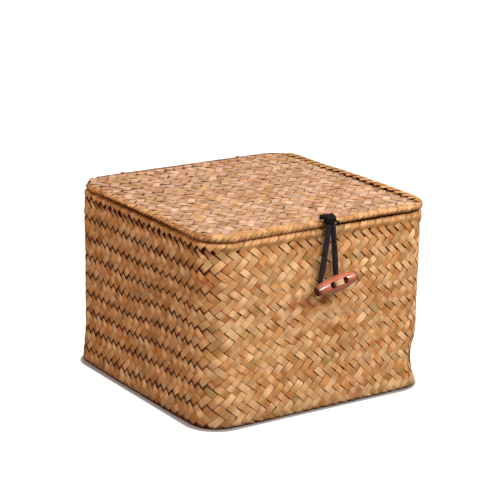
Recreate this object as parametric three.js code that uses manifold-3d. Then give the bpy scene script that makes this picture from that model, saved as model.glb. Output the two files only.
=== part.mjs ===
// A woven lidded box of plaited seagrass: a double-plaited body with a folded rim, a flat lid in a rolled
// border, two twine hinge loops at the back, and a cord loop and wooden toggle at the front.
// Millimetres, +Z up, the front towards -Y, the origin in the middle of the underside.
import * as THREE from 'three';
import { mergeVertices } from 'three/addons/utils/BufferGeometryUtils.js';
import Module from 'manifold-3d';

const wasm = await Module();
wasm.setup();

// Driving sizes of the box
const bodyWidth = 200; // X, over the rim
const bodyDepth = 200; // Y, over the rim
const bodyHeight = 141.6; // underside to the top of the rim
const cornerRadius = 23; // outside of the rim, seen from above
const runningGap = 0.3; // clearance between two pieces that touch
const cutOverrun = 1; // how far a cutting solid runs past a face

// Plaited walls and base, two layers of each
const wallPlait = 2.2;
const basePlait = 2.2;

// Folded rim that straddles the top of both walls
const rimLeg = 0.9;
const rimHeight = 10;
const rimCap = 6;
const rimRound = 1.2;

// Lid: two plaited panels held in the groove of a rolled border
const lidOverhang = 1;
const lidPlait = 2;
const lidLip = 0.55;
const lidBorderWidth = 12;
const lidGrip = 5;
const lidEdgeRound = 2.6;
const seamGap = 0.4; // between the rim and the closed lid

// Hinge loops of twine through the back of the rim and of the lid's border
const hingeSpacing = 110;
const hingeLoopRadius = 4.4;
const hingeTwineRadius = 1;
const hingeHoleClearance = 0.35;

// Wooden toggle on the front wall
const toggleOffset = 3.4; // right of the middle of the front
const toggleDrop = 40.3; // below the top of the rim
const toggleLength = 36;
const toggleRadius = 6.2;
const toggleEndRadius = 3.3;
const toggleStandoff = 11.7; // wall face to the toggle's axis
const toggleTilt = THREE.MathUtils.degToRad(11.5); // right end up
const toggleRoll = THREE.MathUtils.degToRad(24); // holes face upwards by this much
const toggleHoleSpacing = 11.1;
const toggleHoleRadius = 2.4;

// Stitch that ties the toggle to the wall: a bar across its face, two legs and a bar inside
const stitchLegRadius = 0.8;
const stitchBarWidth = 3.4;
const stitchBarThickness = 0.9;
const stitchLean = 1.4; // how far the legs are pulled together at the back of the toggle's holes
const stitchWallSpacing = 2.6; // between the legs where they pass the wall
const stitchWallDrop = 1.3; // below the toggle's axis, at the wall
const stitchWallShift = 1.1; // left of the toggle's middle, at the wall
const stitchHoleClearance = 0.3;
const insideBarLength = 8;
const insideBarRadius = 1;

// Black cord: its knot on the lid's front edge, the eye through the border, and the frayed tails
const knotOffset = 0.9; // right of the middle of the lid
const knotHalfWidth = 5.3;
const knotHalfDepth = 4.2;
const knotHalfHeight = 4.1;
const knotForward = 2.6; // in front of the lid's edge
const knotRise = 2.3; // above the lid's top
const eyeRadius = 3;
const eyeCordRadius = 1.1;
const eyeInset = 0.8; // eye's centre inside the lid's edge and under its top
const eyeHoleClearance = 0.3;
const tailRadius = 1.3;
const tailTipRadius = 0.7;
const longTailReach = 10.4; // left of the knot's middle
const longTailRise = 1.3;
const longTailBack = 1;
const shortTailReach = 9.4; // right of the knot's middle
const shortTailFall = 6;
const shortTailForward = 0.6;

// Cord loop from the knot, down round the toggle's stitch and up again
const cordRadius = 1.8;
const cordSides = 10;
const cordSteps = 36;
const cordRoute = [
  [-1.1, -105.2, 145.6],
  [-1.2, -104.9, 141],
  [-1.5, -104.1, 133],
  [-2.1, -103.3, 125],
  [-3.1, -102.6, 114],
  [-4.4, -102.1, 106],
  [-5, -102, 101.3],
  [-4, -102, 97.6],
  [-1.4, -102, 94.9],
  [2.3, -102, 93.9],
  [6, -102, 94.9],
  [8.6, -102, 97.6],
  [9.6, -102, 101.3],
  [8.9, -102.1, 106],
  [7.9, -102.6, 114],
  [6.4, -103.3, 125],
  [4.9, -104.1, 133],
  [3.5, -104.9, 141],
  [3, -105.2, 145.3],
];

// How finely round shapes are cut
const cornerSteps = 10;
const edgeSteps = 4;
const roundSegments = 24;
const thinSegments = 10;
const barrelSteps = 12;

// Sizes and levels that follow from the ones above
const rimTop = bodyHeight;
const rimBottom = bodyHeight - rimHeight;
const rimDepth = 2 * rimLeg + 3 * runningGap + 2 * wallPlait;
const outerWallInset = rimLeg + runningGap;
const innerWallInset = outerWallInset + wallPlait + runningGap;
const wallTop = rimTop - rimCap - runningGap;
const outerWallFront = -bodyDepth / 2 + outerWallInset;
const innerWallBack = -bodyDepth / 2 + innerWallInset + wallPlait;
const lidWidth = bodyWidth + 2 * lidOverhang;
const lidDepth = bodyDepth + 2 * lidOverhang;
const lidCorner = cornerRadius + lidOverhang;
const lidThickness = 2 * lidLip + 3 * runningGap + 2 * lidPlait;
const lidBottom = rimTop + seamGap;
const lidTop = lidBottom + lidThickness;
const hingeY = lidDepth / 2;
const hingeZ = rimTop + seamGap / 2;

const materials = {
  straw: new THREE.MeshStandardMaterial({ color: 0xd2a873, roughness: 0.75, metalness: 0 }),
  paleStraw: new THREE.MeshStandardMaterial({ color: 0xe0bd8c, roughness: 0.75, metalness: 0 }),
  liningStraw: new THREE.MeshStandardMaterial({ color: 0xbf9560, roughness: 0.8, metalness: 0 }),
  twine: new THREE.MeshStandardMaterial({ color: 0xb98f5c, roughness: 0.9, metalness: 0 }),
  toggleWood: new THREE.MeshStandardMaterial({ color: 0xa8603f, roughness: 0.35, metalness: 0 }),
  stitchStraw: new THREE.MeshStandardMaterial({ color: 0xd9cf9c, roughness: 0.7, metalness: 0 }),
  blackCord: new THREE.MeshStandardMaterial({ color: 0x1c1f22, roughness: 0.8, metalness: 0 }),
};

/** A geometry as a solid that can be cut and joined. */
function solidOf(geometry) {
  const placed = geometry.clone();
  placed.deleteAttribute('normal');
  placed.deleteAttribute('uv');
  const merged = mergeVertices(placed);
  return new wasm.Manifold(new wasm.Mesh({
    numProp: 3,
    vertProperties: new Float32Array(merged.attributes.position.array),
    triVerts: new Uint32Array(merged.index.array),
  }));
}

/** A solid turned back into a geometry. */
function geometryOf(solid) {
  const { vertProperties, triVerts } = solid.getMesh();
  const geometry = new THREE.BufferGeometry();
  geometry.setAttribute('position', new THREE.BufferAttribute(vertProperties, 3));
  geometry.setIndex(new THREE.BufferAttribute(triVerts, 1));
  geometry.computeVertexNormals();
  return geometry;
}

/** A named mesh. */
function piece(name, geometry, material) {
  const mesh = new THREE.Mesh(geometry, material);
  mesh.name = name;
  return mesh;
}

/** A rounded rectangle as a shape, inset from an outline of the given width, depth and corner. */
function roundedShape(width, depth, radius, inset) {
  const halfWidth = width / 2 - inset;
  const halfDepth = depth / 2 - inset;
  const corner = radius - inset;
  const shape = new THREE.Shape();
  shape.absarc(halfWidth - corner, halfDepth - corner, corner, 0, Math.PI / 2);
  shape.absarc(corner - halfWidth, halfDepth - corner, corner, Math.PI / 2, Math.PI);
  shape.absarc(corner - halfWidth, corner - halfDepth, corner, Math.PI, 1.5 * Math.PI);
  shape.absarc(halfWidth - corner, corner - halfDepth, corner, 1.5 * Math.PI, 2 * Math.PI);
  shape.closePath();
  return shape;
}

/** A flat plate with rounded corners, standing on the given level. */
function plate(width, depth, radius, inset, bottom, thickness) {
  const geometry = new THREE.ExtrudeGeometry(roundedShape(width, depth, radius, inset), {
    depth: thickness,
    bevelEnabled: false,
    curveSegments: cornerSteps,
  });
  return geometry.translate(0, 0, bottom);
}

/** A section swept round a rounded rectangle. Its points are [inset from the outline, level]. */
function ring(width, depth, radius, section) {
  const positions = [];
  const stations = [];
  for (let corner = 0; corner < 4; corner += 1) {
    const start = corner * Math.PI / 2;
    const signX = corner === 0 || corner === 3 ? 1 : -1;
    const signY = corner < 2 ? 1 : -1;
    for (let step = 0; step <= cornerSteps; step += 1) {
      const angle = start + step / cornerSteps * Math.PI / 2;
      stations.push({
        x: signX * (width / 2 - radius),
        y: signY * (depth / 2 - radius),
        outX: Math.cos(angle),
        outY: Math.sin(angle),
      });
    }
  }
  for (const { x, y, outX, outY } of stations) {
    for (const [inset, level] of section) {
      positions.push(x + outX * (radius - inset), y + outY * (radius - inset), level);
    }
  }
  const indices = [];
  const around = section.length;
  for (let i = 0; i < stations.length; i += 1) {
    const here = i * around;
    const next = (i + 1) % stations.length * around;
    for (let j = 0; j < around; j += 1) {
      const k = (j + 1) % around;
      indices.push(here + j, next + j, next + k, here + j, next + k, here + k);
    }
  }
  const geometry = new THREE.BufferGeometry();
  geometry.setAttribute('position', new THREE.Float32BufferAttribute(positions, 3));
  geometry.setIndex(indices);
  geometry.computeVertexNormals();
  return geometry;
}

/** Points of a quarter round of an edge, from one angle to another, about its centre. */
function quarterRound(centreInset, centreLevel, radius, from, to) {
  const points = [];
  for (let step = 0; step <= edgeSteps; step += 1) {
    const angle = from + (to - from) * step / edgeSteps;
    points.push([centreInset - radius * Math.cos(angle), centreLevel + radius * Math.sin(angle)]);
  }
  return points;
}

/** A plain upright wall section between two levels. */
function wallSection(inset, thickness, bottom, top) {
  return [[inset, bottom], [inset, top], [inset + thickness, top], [inset + thickness, bottom]];
}

/** A ring of cord in a plane square to X. */
function ringOfCord(x, y, z, radius, cordRadiusHere) {
  const geometry = new THREE.TorusGeometry(radius, cordRadiusHere, thinSegments, roundSegments);
  return geometry.rotateY(Math.PI / 2).translate(x, y, z);
}

/** A round tube along a curve. */
function tube(curve, radius, sides, steps) {
  const section = new THREE.Shape();
  section.absarc(0, 0, radius, 0, 2 * Math.PI);
  const outline = new THREE.Shape(section.getPoints(sides).slice(0, -1));
  return new THREE.ExtrudeGeometry(outline, { steps, extrudePath: curve, bevelEnabled: false });
}

/** A tapered rod from one point to another. */
function taperedRod(from, to, radiusFrom, radiusTo) {
  const span = new THREE.Vector3().subVectors(to, from);
  const rod = new THREE.CylinderGeometry(radiusTo, radiusFrom, span.length(), thinSegments);
  const turn = new THREE.Quaternion().setFromUnitVectors(new THREE.Vector3(0, 1, 0), span.clone().normalize());
  const middle = new THREE.Vector3().addVectors(from, to).multiplyScalar(0.5);
  return rod.applyQuaternion(turn).translate(middle.x, middle.y, middle.z);
}

/** Where the two legs of the stitch stand at the wall, left and right. */
function legAtWall(side) {
  return new THREE.Vector3(
    toggleOffset - stitchWallShift + side * stitchWallSpacing / 2,
    outerWallFront,
    rimTop - toggleDrop - stitchWallDrop,
  );
}

/** Round holes through both walls for the stitch's legs. */
function stitchHoles() {
  const depth = innerWallBack - outerWallFront + 2 * cutOverrun;
  const middle = (innerWallBack + outerWallFront) / 2;
  return [-1, 1].map((side) => {
    const { x, z } = legAtWall(side);
    const radius = stitchLegRadius + stitchHoleClearance;
    return solidOf(new THREE.CylinderGeometry(radius, radius, depth, thinSegments).translate(x, middle, z));
  });
}

/** Ring-shaped holes for the hinge loops, which the rim and the lid's border share. */
function hingeHoles() {
  const radius = hingeTwineRadius + hingeHoleClearance;
  return [-1, 1].map((side) => (
    solidOf(ringOfCord(side * hingeSpacing / 2, hingeY, hingeZ, hingeLoopRadius, radius))
  ));
}

/** A geometry with several solids cut out of it. */
function cut(geometry, cutters) {
  return geometryOf(cutters.reduce((solid, cutter) => solid.subtract(cutter), solidOf(geometry)));
}

/** The body: two base panels, two walls and the folded rim. */
function makeBody() {
  const outerWallBottom = basePlait + runningGap;
  const innerBaseTop = outerWallBottom + basePlait;
  const outerWall = ring(bodyWidth, bodyDepth, cornerRadius,
    wallSection(outerWallInset, wallPlait, outerWallBottom, wallTop));
  const innerWall = ring(bodyWidth, bodyDepth, cornerRadius,
    wallSection(innerWallInset, wallPlait, innerBaseTop + runningGap, wallTop));
  const grooveTop = rimTop - rimCap;
  const rim = ring(bodyWidth, bodyDepth, cornerRadius, [
    [0, rimBottom],
    ...quarterRound(rimRound, rimTop - rimRound, rimRound, 0, Math.PI / 2),
    ...quarterRound(rimDepth - rimRound, rimTop - rimRound, rimRound, Math.PI / 2, Math.PI),
    [rimDepth, rimBottom],
    [rimDepth - rimLeg, rimBottom],
    [rimDepth - rimLeg, grooveTop],
    [rimLeg, grooveTop],
    [rimLeg, rimBottom],
  ]);
  return [
    piece('base_outer', plate(bodyWidth, bodyDepth, cornerRadius, outerWallInset, 0, basePlait),
      materials.straw),
    piece('base_inner', plate(bodyWidth, bodyDepth, cornerRadius, innerWallInset, outerWallBottom, basePlait),
      materials.liningStraw),
    piece('wall_outer', cut(outerWall, stitchHoles()), materials.straw),
    piece('wall_inner', cut(innerWall, stitchHoles()), materials.liningStraw),
    piece('body_rim', cut(rim, hingeHoles()), materials.paleStraw),
  ];
}

/** Where the cord's eye stands: the ring that passes through the lid's front border. */
function eyeOfCord(radius) {
  return ringOfCord(knotOffset, eyeInset - lidDepth / 2, lidTop - eyeInset, eyeRadius, radius);
}

/** The lid: two plaited panels in the groove of the rolled border. */
function makeLid() {
  const grooveInset = lidBorderWidth - lidGrip;
  const panelInset = grooveInset + runningGap;
  const underBottom = lidBottom + lidLip + runningGap;
  const topBottom = underBottom + lidPlait + runningGap;
  const border = ring(lidWidth, lidDepth, lidCorner, [
    ...quarterRound(lidEdgeRound, lidBottom + lidEdgeRound, lidEdgeRound, -Math.PI / 2, 0),
    ...quarterRound(lidEdgeRound, lidTop - lidEdgeRound, lidEdgeRound, 0, Math.PI / 2),
    [lidBorderWidth, lidTop],
    [lidBorderWidth, lidTop - lidLip],
    [grooveInset, lidTop - lidLip],
    [grooveInset, lidBottom + lidLip],
    [lidBorderWidth, lidBottom + lidLip],
    [lidBorderWidth, lidBottom],
  ]);
  const eyeHole = solidOf(eyeOfCord(eyeCordRadius + eyeHoleClearance));
  return [
    piece('lid_top_panel', plate(lidWidth, lidDepth, lidCorner, panelInset, topBottom, lidPlait),
      materials.straw),
    piece('lid_under_panel', plate(lidWidth, lidDepth, lidCorner, panelInset, underBottom, lidPlait),
      materials.liningStraw),
    piece('lid_border', cut(border, [...hingeHoles(), eyeHole]), materials.paleStraw),
  ];
}

/** The two hinge loops of twine. */
function makeHinges() {
  return [['hinge_loop_left', -1], ['hinge_loop_right', 1]].map(([name, side]) => (
    piece(name, ringOfCord(side * hingeSpacing / 2, hingeY, hingeZ, hingeLoopRadius, hingeTwineRadius),
      materials.twine)
  ));
}

/** The knot, with its eye through the lid's border and its two tails, all one length of cord. */
function makeKnot() {
  const centre = new THREE.Vector3(knotOffset, -lidDepth / 2 - knotForward, lidTop + knotRise);
  const bulk = new THREE.SphereGeometry(1, roundSegments, barrelSteps)
    .scale(knotHalfWidth, knotHalfDepth, knotHalfHeight)
    .translate(centre.x, centre.y, centre.z);
  const longTip = new THREE.Vector3(-longTailReach, longTailBack, longTailRise).add(centre);
  const shortTip = new THREE.Vector3(shortTailReach, -shortTailForward, -shortTailFall).add(centre);
  const knot = solidOf(bulk)
    .add(solidOf(eyeOfCord(eyeCordRadius)))
    .add(solidOf(taperedRod(centre, longTip, tailRadius, tailRadius)))
    .add(solidOf(taperedRod(centre, shortTip, tailRadius, tailTipRadius)));
  return piece('cord_knot', geometryOf(knot), materials.blackCord);
}

/** The loop of cord that hangs from the knot and is caught behind the toggle. */
function makeCordLoop() {
  const curve = new THREE.CatmullRomCurve3(cordRoute.map(([x, y, z]) => new THREE.Vector3(x, y, z)));
  return piece('cord_loop', tube(curve, cordRadius, cordSides, cordSteps), materials.blackCord);
}

/** The toggle's own frame: its long axis along X and its holes along Y, before it is tilted and rolled. */
function togglePose() {
  const turn = new THREE.Matrix4().makeRotationY(-toggleTilt)
    .multiply(new THREE.Matrix4().makeRotationX(-toggleRoll));
  const place = new THREE.Matrix4().makeTranslation(
    toggleOffset, outerWallFront - toggleStandoff, rimTop - toggleDrop,
  );
  return place.multiply(turn);
}

/** The turned barrel, fattest in the middle, with two holes across it. */
function makeToggle() {
  const profile = [new THREE.Vector2(0, -toggleLength / 2)];
  for (let step = 0; step <= barrelSteps; step += 1) {
    const share = 2 * step / barrelSteps - 1;
    const radius = toggleEndRadius + (toggleRadius - toggleEndRadius) * (1 - share * share);
    profile.push(new THREE.Vector2(radius, share * toggleLength / 2));
  }
  profile.push(new THREE.Vector2(0, toggleLength / 2));
  const barrel = new THREE.LatheGeometry(profile, roundSegments).rotateZ(-Math.PI / 2);
  const drillLength = 2 * toggleRadius + 2 * cutOverrun;
  const drills = [-1, 1].map((side) => solidOf(
    new THREE.CylinderGeometry(toggleHoleRadius, toggleHoleRadius, drillLength, roundSegments)
      .translate(side * toggleHoleSpacing / 2, 0, 0),
  ));
  const mesh = piece('toggle', cut(barrel, drills), materials.toggleWood);
  mesh.applyMatrix4(togglePose());
  return mesh;
}

/** The flat strip of the stitch across the toggle's face, from hole to hole. */
function makeStitchBar() {
  const lift = runningGap + stitchBarThickness / 2;
  const strip = new THREE.BoxGeometry(toggleHoleSpacing, stitchBarThickness, stitchBarWidth)
    .translate(0, -toggleRadius - lift, 0);
  const mesh = piece('stitch_bar', strip, materials.stitchStraw);
  mesh.applyMatrix4(togglePose());
  return mesh;
}

/** A leg of the stitch: through the toggle's hole, back to the wall and through both walls. */
function makeStitchLeg(name, side) {
  const pose = togglePose();
  const inToggle = (y, lean) => (
    new THREE.Vector3(side * (toggleHoleSpacing / 2 - lean), y, 0).applyMatrix4(pose)
  );
  const wall = legAtWall(side);
  const inside = wall.clone().setY(innerWallBack);
  const curve = new THREE.CatmullRomCurve3([
    inToggle(-toggleRadius, 0),
    inToggle(0, stitchLean / 2),
    inToggle(toggleRadius, stitchLean),
    wall.clone().setY(outerWallFront - stitchLegRadius),
    wall.clone().setY((outerWallFront + innerWallBack) / 2),
    inside,
  ], false, 'centripetal');
  return piece(name, tube(curve, stitchLegRadius, thinSegments, roundSegments), materials.stitchStraw);
}

/** The bar inside the box that the stitch's legs are tied over. */
function makeInsideBar() {
  const y = innerWallBack + runningGap + insideBarRadius;
  const { z } = legAtWall(1);
  const bar = new THREE.CylinderGeometry(insideBarRadius, insideBarRadius, insideBarLength, thinSegments)
    .rotateZ(Math.PI / 2)
    .translate(toggleOffset - stitchWallShift, y, z);
  return piece('stitch_inside_bar', bar, materials.stitchStraw);
}

const box = new THREE.Group();
box.add(
  ...makeBody(),
  ...makeLid(),
  ...makeHinges(),
  makeKnot(),
  makeCordLoop(),
  makeToggle(),
  makeStitchBar(),
  makeStitchLeg('stitch_leg_left', -1),
  makeStitchLeg('stitch_leg_right', 1),
  makeInsideBar(),
);

export default box;
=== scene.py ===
"""Woven lidded box: looks for the square box plaited from flat grass strips.

The walls, base and lid are plaited strip by strip, over two and under two, at a slant. The rim and the
lid's border are strips folded over the edge. A black cord loop hangs from a knot on the lid's front edge
and hooks behind a turned wooden toggle, which a pale strip stitches to the wall. Two twine rings hinge the
lid at the back. Sizes are in metres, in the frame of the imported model: X right, Y back, Z up.
"""

import logging
import math
from collections.abc import Callable, Mapping, Sequence
from dataclasses import dataclass, replace
from enum import Enum

import bpy
import numpy as np
from bpy.types import Material, Mesh, Node, NodeSocket, NodeTree, Object, bpy_prop_collection
from mathutils import Matrix, Vector


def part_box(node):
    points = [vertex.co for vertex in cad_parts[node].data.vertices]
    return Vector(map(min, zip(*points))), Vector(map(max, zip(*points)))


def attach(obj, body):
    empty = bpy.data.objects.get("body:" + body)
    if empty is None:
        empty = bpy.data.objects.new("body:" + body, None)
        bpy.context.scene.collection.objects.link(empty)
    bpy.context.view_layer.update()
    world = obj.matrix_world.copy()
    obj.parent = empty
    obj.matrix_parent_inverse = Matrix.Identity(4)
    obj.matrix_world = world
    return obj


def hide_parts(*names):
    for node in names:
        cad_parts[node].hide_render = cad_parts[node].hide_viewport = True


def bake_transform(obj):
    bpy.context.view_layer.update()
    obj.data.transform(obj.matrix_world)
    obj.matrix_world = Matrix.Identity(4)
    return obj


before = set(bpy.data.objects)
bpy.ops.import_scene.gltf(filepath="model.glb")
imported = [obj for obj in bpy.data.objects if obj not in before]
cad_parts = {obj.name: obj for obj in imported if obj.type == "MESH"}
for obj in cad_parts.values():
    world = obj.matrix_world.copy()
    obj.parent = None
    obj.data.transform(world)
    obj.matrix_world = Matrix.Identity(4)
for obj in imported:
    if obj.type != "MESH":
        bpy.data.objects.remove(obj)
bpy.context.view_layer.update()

Place = tuple[float, float, float]

MM = 0.001
STRAW_PLACE = "straw_place"
STRAW_LEVEL_AND_SHADE = "straw_level_and_shade"
CORD_PLACE = "cord_place"
TURNED_PLACE = "turned_place"
TOGGLE_END_SKIN = 0.05 * MM

log = logging.getLogger("woven_box")


class Slant(Enum):
    """Which way a family of strips leans, seen from outside or from above."""

    RISING = 1
    FALLING = -1


class Wire:
    """A value in a node tree. Arithmetic on it adds Math nodes."""

    def __init__(self, sheet: "Sheet", socket: NodeSocket) -> None:
        """Keeps the tree and the output socket that carries the value."""
        self.sheet = sheet
        self.socket = socket

    def __add__(self, other: "Value") -> "Wire":
        """This value plus another."""
        return self.sheet.math("ADD", self, other)

    def __radd__(self, other: "Value") -> "Wire":
        """Another value plus this one."""
        return self.sheet.math("ADD", other, self)

    def __sub__(self, other: "Value") -> "Wire":
        """This value less another."""
        return self.sheet.math("SUBTRACT", self, other)

    def __rsub__(self, other: "Value") -> "Wire":
        """Another value less this one."""
        return self.sheet.math("SUBTRACT", other, self)

    def __mul__(self, other: "Value") -> "Wire":
        """This value times another."""
        return self.sheet.math("MULTIPLY", self, other)

    def __rmul__(self, other: "Value") -> "Wire":
        """Another value times this one."""
        return self.sheet.math("MULTIPLY", other, self)

    def __truediv__(self, other: "Value") -> "Wire":
        """This value divided by another."""
        return self.sheet.math("DIVIDE", self, other)

    def __neg__(self) -> "Wire":
        """This value with its sign turned."""
        return self.sheet.math("MULTIPLY", self, -1.0)

    def raised(self, power: "Value") -> "Wire":
        """The size of this value to a power, with the value's own sign kept."""
        return self.sheet.math("SIGN", self) * self.sheet.math("POWER", self.size(), power)

    def size(self) -> "Wire":
        """The value without its sign."""
        return self.sheet.math("ABSOLUTE", self)

    def over(self, level: "Value") -> "Wire":
        """1 where this value is above the level, and 0 elsewhere."""
        return self.sheet.math("GREATER_THAN", self, level)

    def at_least(self, low: "Value") -> "Wire":
        """This value, or the low one where that is higher."""
        return self.sheet.math("MAXIMUM", self, low)

    def at_most(self, high: "Value") -> "Wire":
        """This value, or the high one where that is lower."""
        return self.sheet.math("MINIMUM", self, high)

    def root(self) -> "Wire":
        """The square root."""
        return self.sheet.math("SQRT", self)

    def kept(self) -> "Wire":
        """The value held between 0 and 1."""
        return self.at_least(0.0).at_most(1.0)

    def eased(self, low: "Value" = 0.0, high: "Value" = 1.0) -> "Wire":
        """0 below the low value, 1 above the high one, and a smooth step between."""
        share = ((self - low) / (high - low)).kept()
        return share * share * (3.0 - 2.0 * share)


Value = Wire | float | int
Inputs = Mapping[str | int, object]


def pick(sockets: bpy_prop_collection, key: str | int) -> NodeSocket:
    """Finds a node's socket.

    Args:
        sockets: The node's inputs or outputs.
        key: The socket's name, or its place in the row.

    Returns:
        The first socket of that name that is in use, or the one at that place.
    """
    if isinstance(key, int):
        return sockets[key]
    return next(s for s in sockets if s.name == key and s.enabled)


class Sheet:
    """A node tree being drawn, with short calls that add its nodes and wires."""

    def __init__(self, tree: NodeTree) -> None:
        """Keeps the shader or geometry tree."""
        self.tree = tree

    def node(self, kind: str, inputs: Inputs | None = None, **settings: object) -> Node:
        """Adds one node.

        Args:
            kind: The node's type name.
            inputs: Values or wires for its inputs.
            settings: The node's own settings, set before its inputs.

        Returns:
            The new node.
        """
        made = self.tree.nodes.new(kind)
        for name, value in settings.items():
            setattr(made, name, value)
        self.fill(made, inputs or {})
        return made

    def fill(self, node: Node, inputs: Inputs) -> None:
        """Gives a node's inputs their wires or values, by name or by place."""
        for key, value in inputs.items():
            self.feed(pick(node.inputs, key), value)

    def feed(self, socket: NodeSocket, value: object) -> None:
        """Gives a socket a wire or a fixed value.

        Args:
            socket: The input socket.
            value: A wire, a socket, or a plain value.
        """
        if isinstance(value, Wire):
            value = value.socket
        if isinstance(value, NodeSocket):
            self.tree.links.new(value, socket)
        else:
            socket.default_value = value

    def wire(self, kind: str, output: str | int, inputs: Inputs | None = None, **settings: object) -> Wire:
        """Adds one node, with its inputs and settings, and gives one of its outputs."""
        return Wire(self, pick(self.node(kind, inputs, **settings).outputs, output))

    def math(self, operation: str, *values: Value) -> Wire:
        """Adds a Math node with these values and gives its result."""
        return self.wire("ShaderNodeMath", 0, dict(enumerate(values)), operation=operation)

    def vector(self, x: Value, y: Value, z: Value) -> Wire:
        """Joins three values into a vector."""
        return self.wire("ShaderNodeCombineXYZ", 0, {0: x, 1: y, 2: z})

    def parts(self, vector: Wire) -> tuple[Wire, Wire, Wire]:
        """Splits a vector into its three values."""
        node = self.node("ShaderNodeSeparateXYZ", {0: vector})
        return Wire(self, node.outputs[0]), Wire(self, node.outputs[1]), Wire(self, node.outputs[2])

    def noise(self, place: Sequence[Value], scale: Value = 1.0, detail: float = 0.0) -> Wire:
        """Smooth noise from 0 to 1 at a place."""
        given = {"Vector": self.vector(*place), "Scale": scale, "Detail": detail}
        return self.wire("ShaderNodeTexNoise", "Fac", given)

    def wobble(self, place: Sequence[Value], scale: Value = 1.0) -> Wire:
        """Smooth noise from -1 to 1 at a place."""
        return (self.noise(place, scale) - 0.5) * 2.0

    def group(self, tree: NodeTree, inputs: Inputs) -> dict[str, Wire]:
        """Places a shader group and gives its outputs by name."""
        node = self.node("ShaderNodeGroup", inputs, node_tree=tree)
        return {socket.name: Wire(self, socket) for socket in node.outputs}

    def stored(self, mesh: object, name: str, value: Value, kind: str, domain: str = "POINT") -> Wire:
        """Stores a named attribute on a mesh, a curve or instances."""
        given = {"Geometry": mesh, "Name": name, "Value": value}
        return self.wire("GeometryNodeStoreNamedAttribute", "Geometry", given, data_type=kind, domain=domain)

    def mix(self, share: Value, first: object, second: object, blend: str = "MIX") -> Wire:
        """Blends two colours by a share, from the first at 0 to the second at 1."""
        given = {"Factor": share, "A": first, "B": second}
        return self.wire("ShaderNodeMix", "Result", given, data_type="RGBA", blend_type=blend)


def kinds(**rows: str) -> dict[str, str]:
    """The kind of each named socket, from one row of names for each kind."""
    return {name: kind for kind, row in rows.items() for name in row.split(", ")}


def named_tree(
    name: str, kind: str, takes: Mapping[str, str], gives: Mapping[str, str]
) -> tuple[Sheet, dict[str, Wire], Node]:
    """Makes a node group with named inputs and outputs.

    Args:
        name: The group's name.
        kind: GeometryNodeTree or ShaderNodeTree.
        takes: The kind of each input by name.
        gives: The kind of each output by name.

    Returns:
        The tree to draw on, its inputs as wires, and its output node.
    """
    tree = bpy.data.node_groups.new(name, kind)
    for way, sockets in (("INPUT", takes), ("OUTPUT", gives)):
        for socket, sort in sockets.items():
            tree.interface.new_socket(socket, in_out=way, socket_type="NodeSocket" + sort.title())
    sheet = Sheet(tree)
    entry = sheet.node("NodeGroupInput")
    wires = {socket: Wire(sheet, pick(entry.outputs, socket)) for socket in takes}
    return sheet, wires, sheet.node("NodeGroupOutput")


def placed(name: str, data: object) -> Object:
    """Puts a new object with this mesh, lamp or camera into the scene."""
    made = bpy.data.objects.new(name, data)
    bpy.context.scene.collection.objects.link(made)
    return made


def evaluated_mesh(piece: Object) -> Mesh:
    """Turns a piece into a plain mesh, as its modifiers leave it, and removes the modifiers."""
    bpy.context.view_layer.update()
    mesh = bpy.data.meshes.new_from_object(piece.evaluated_get(bpy.context.evaluated_depsgraph_get()))
    piece.modifiers.clear()
    piece.data = mesh
    return mesh


def grown(name: str, tree: NodeTree, sizes: Mapping[str, object]) -> Object:
    """Makes a piece by running a geometry tree once and keeping the plain mesh.

    Args:
        name: The piece's name.
        tree: The geometry tree.
        sizes: The tree's inputs by name.

    Returns:
        The piece, at the origin, with no modifier left.
    """
    piece = placed(name, bpy.data.meshes.new(name + "_seed"))
    modifier = piece.modifiers.new("grow", "NODES")
    modifier.node_group = tree
    for item in tree.interface.items_tree:
        if item.item_type == "SOCKET" and item.in_out == "INPUT" and item.name in sizes:
            modifier[item.identifier] = sizes[item.name]
    evaluated_mesh(piece).name = name
    return piece


def report(piece: Object) -> None:
    """Logs a finished piece's name and size."""
    triangles = sum(len(p.vertices) - 2 for p in piece.data.polygons)
    log.info("%s: %d triangles", piece.name, triangles)


def settle(piece: Object, body: str, slot: str, *nodes: str, material: Material | None = None) -> None:
    """Ties a piece to its body, gives it its material if one is given, and hides the nodes it stands for.

    Args:
        piece: The piece, in place.
        body: The body it moves with.
        slot: The name of a material slot; not used.
        nodes: The CAD nodes it stands for.
        material: Its material, if the mesh has none yet.
    """
    if material is not None:
        piece.data.materials.clear()
        piece.data.materials.append(material)
    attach(piece, body)
    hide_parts(*nodes)
    report(piece)


STRIP_SIDES = 8
EDGE_POWER = 0.3
FACE_POWER = 0.6
CRISP_EDGE = math.radians(28)


def laid_strips(sheet: Sheet, count: Wire, segments: Wire) -> tuple[Wire, Wire, Wire, Wire, Wire]:
    """Makes the flat, unplaced strips of one family, each a closed eight-sided bar.

    Args:
        sheet: The geometry tree.
        count: How many strips.
        segments: How many steps along each strip.

    Returns:
        The mesh, the strip's number, the share along it, its place across from -1 to 1, and its
        place through the thickness from -1 to 1.
    """
    bar = sheet.wire(
        "GeometryNodeMeshCylinder",
        "Mesh",
        {"Vertices": STRIP_SIDES, "Side Segments": segments, "Radius": 1.0, "Depth": 1.0},
        fill_type="NGON",
    )
    points = sheet.wire("GeometryNodePoints", "Points", {"Count": count})
    bars = sheet.wire("GeometryNodeInstanceOnPoints", "Instances", {"Points": points, "Instance": bar})
    number = sheet.wire("GeometryNodeInputIndex", 0)
    numbered = sheet.stored(bars, "strip", number, "INT", "INSTANCE")
    real = sheet.wire("GeometryNodeRealizeInstances", "Geometry", {"Geometry": numbered})
    strip = sheet.wire("GeometryNodeInputNamedAttribute", "Attribute", {"Name": "strip"}, data_type="INT")
    x, y, z = sheet.parts(sheet.wire("GeometryNodeInputPosition", 0))
    return real, strip, z + 0.5, x.raised(EDGE_POWER), y.raised(FACE_POWER)


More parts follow.
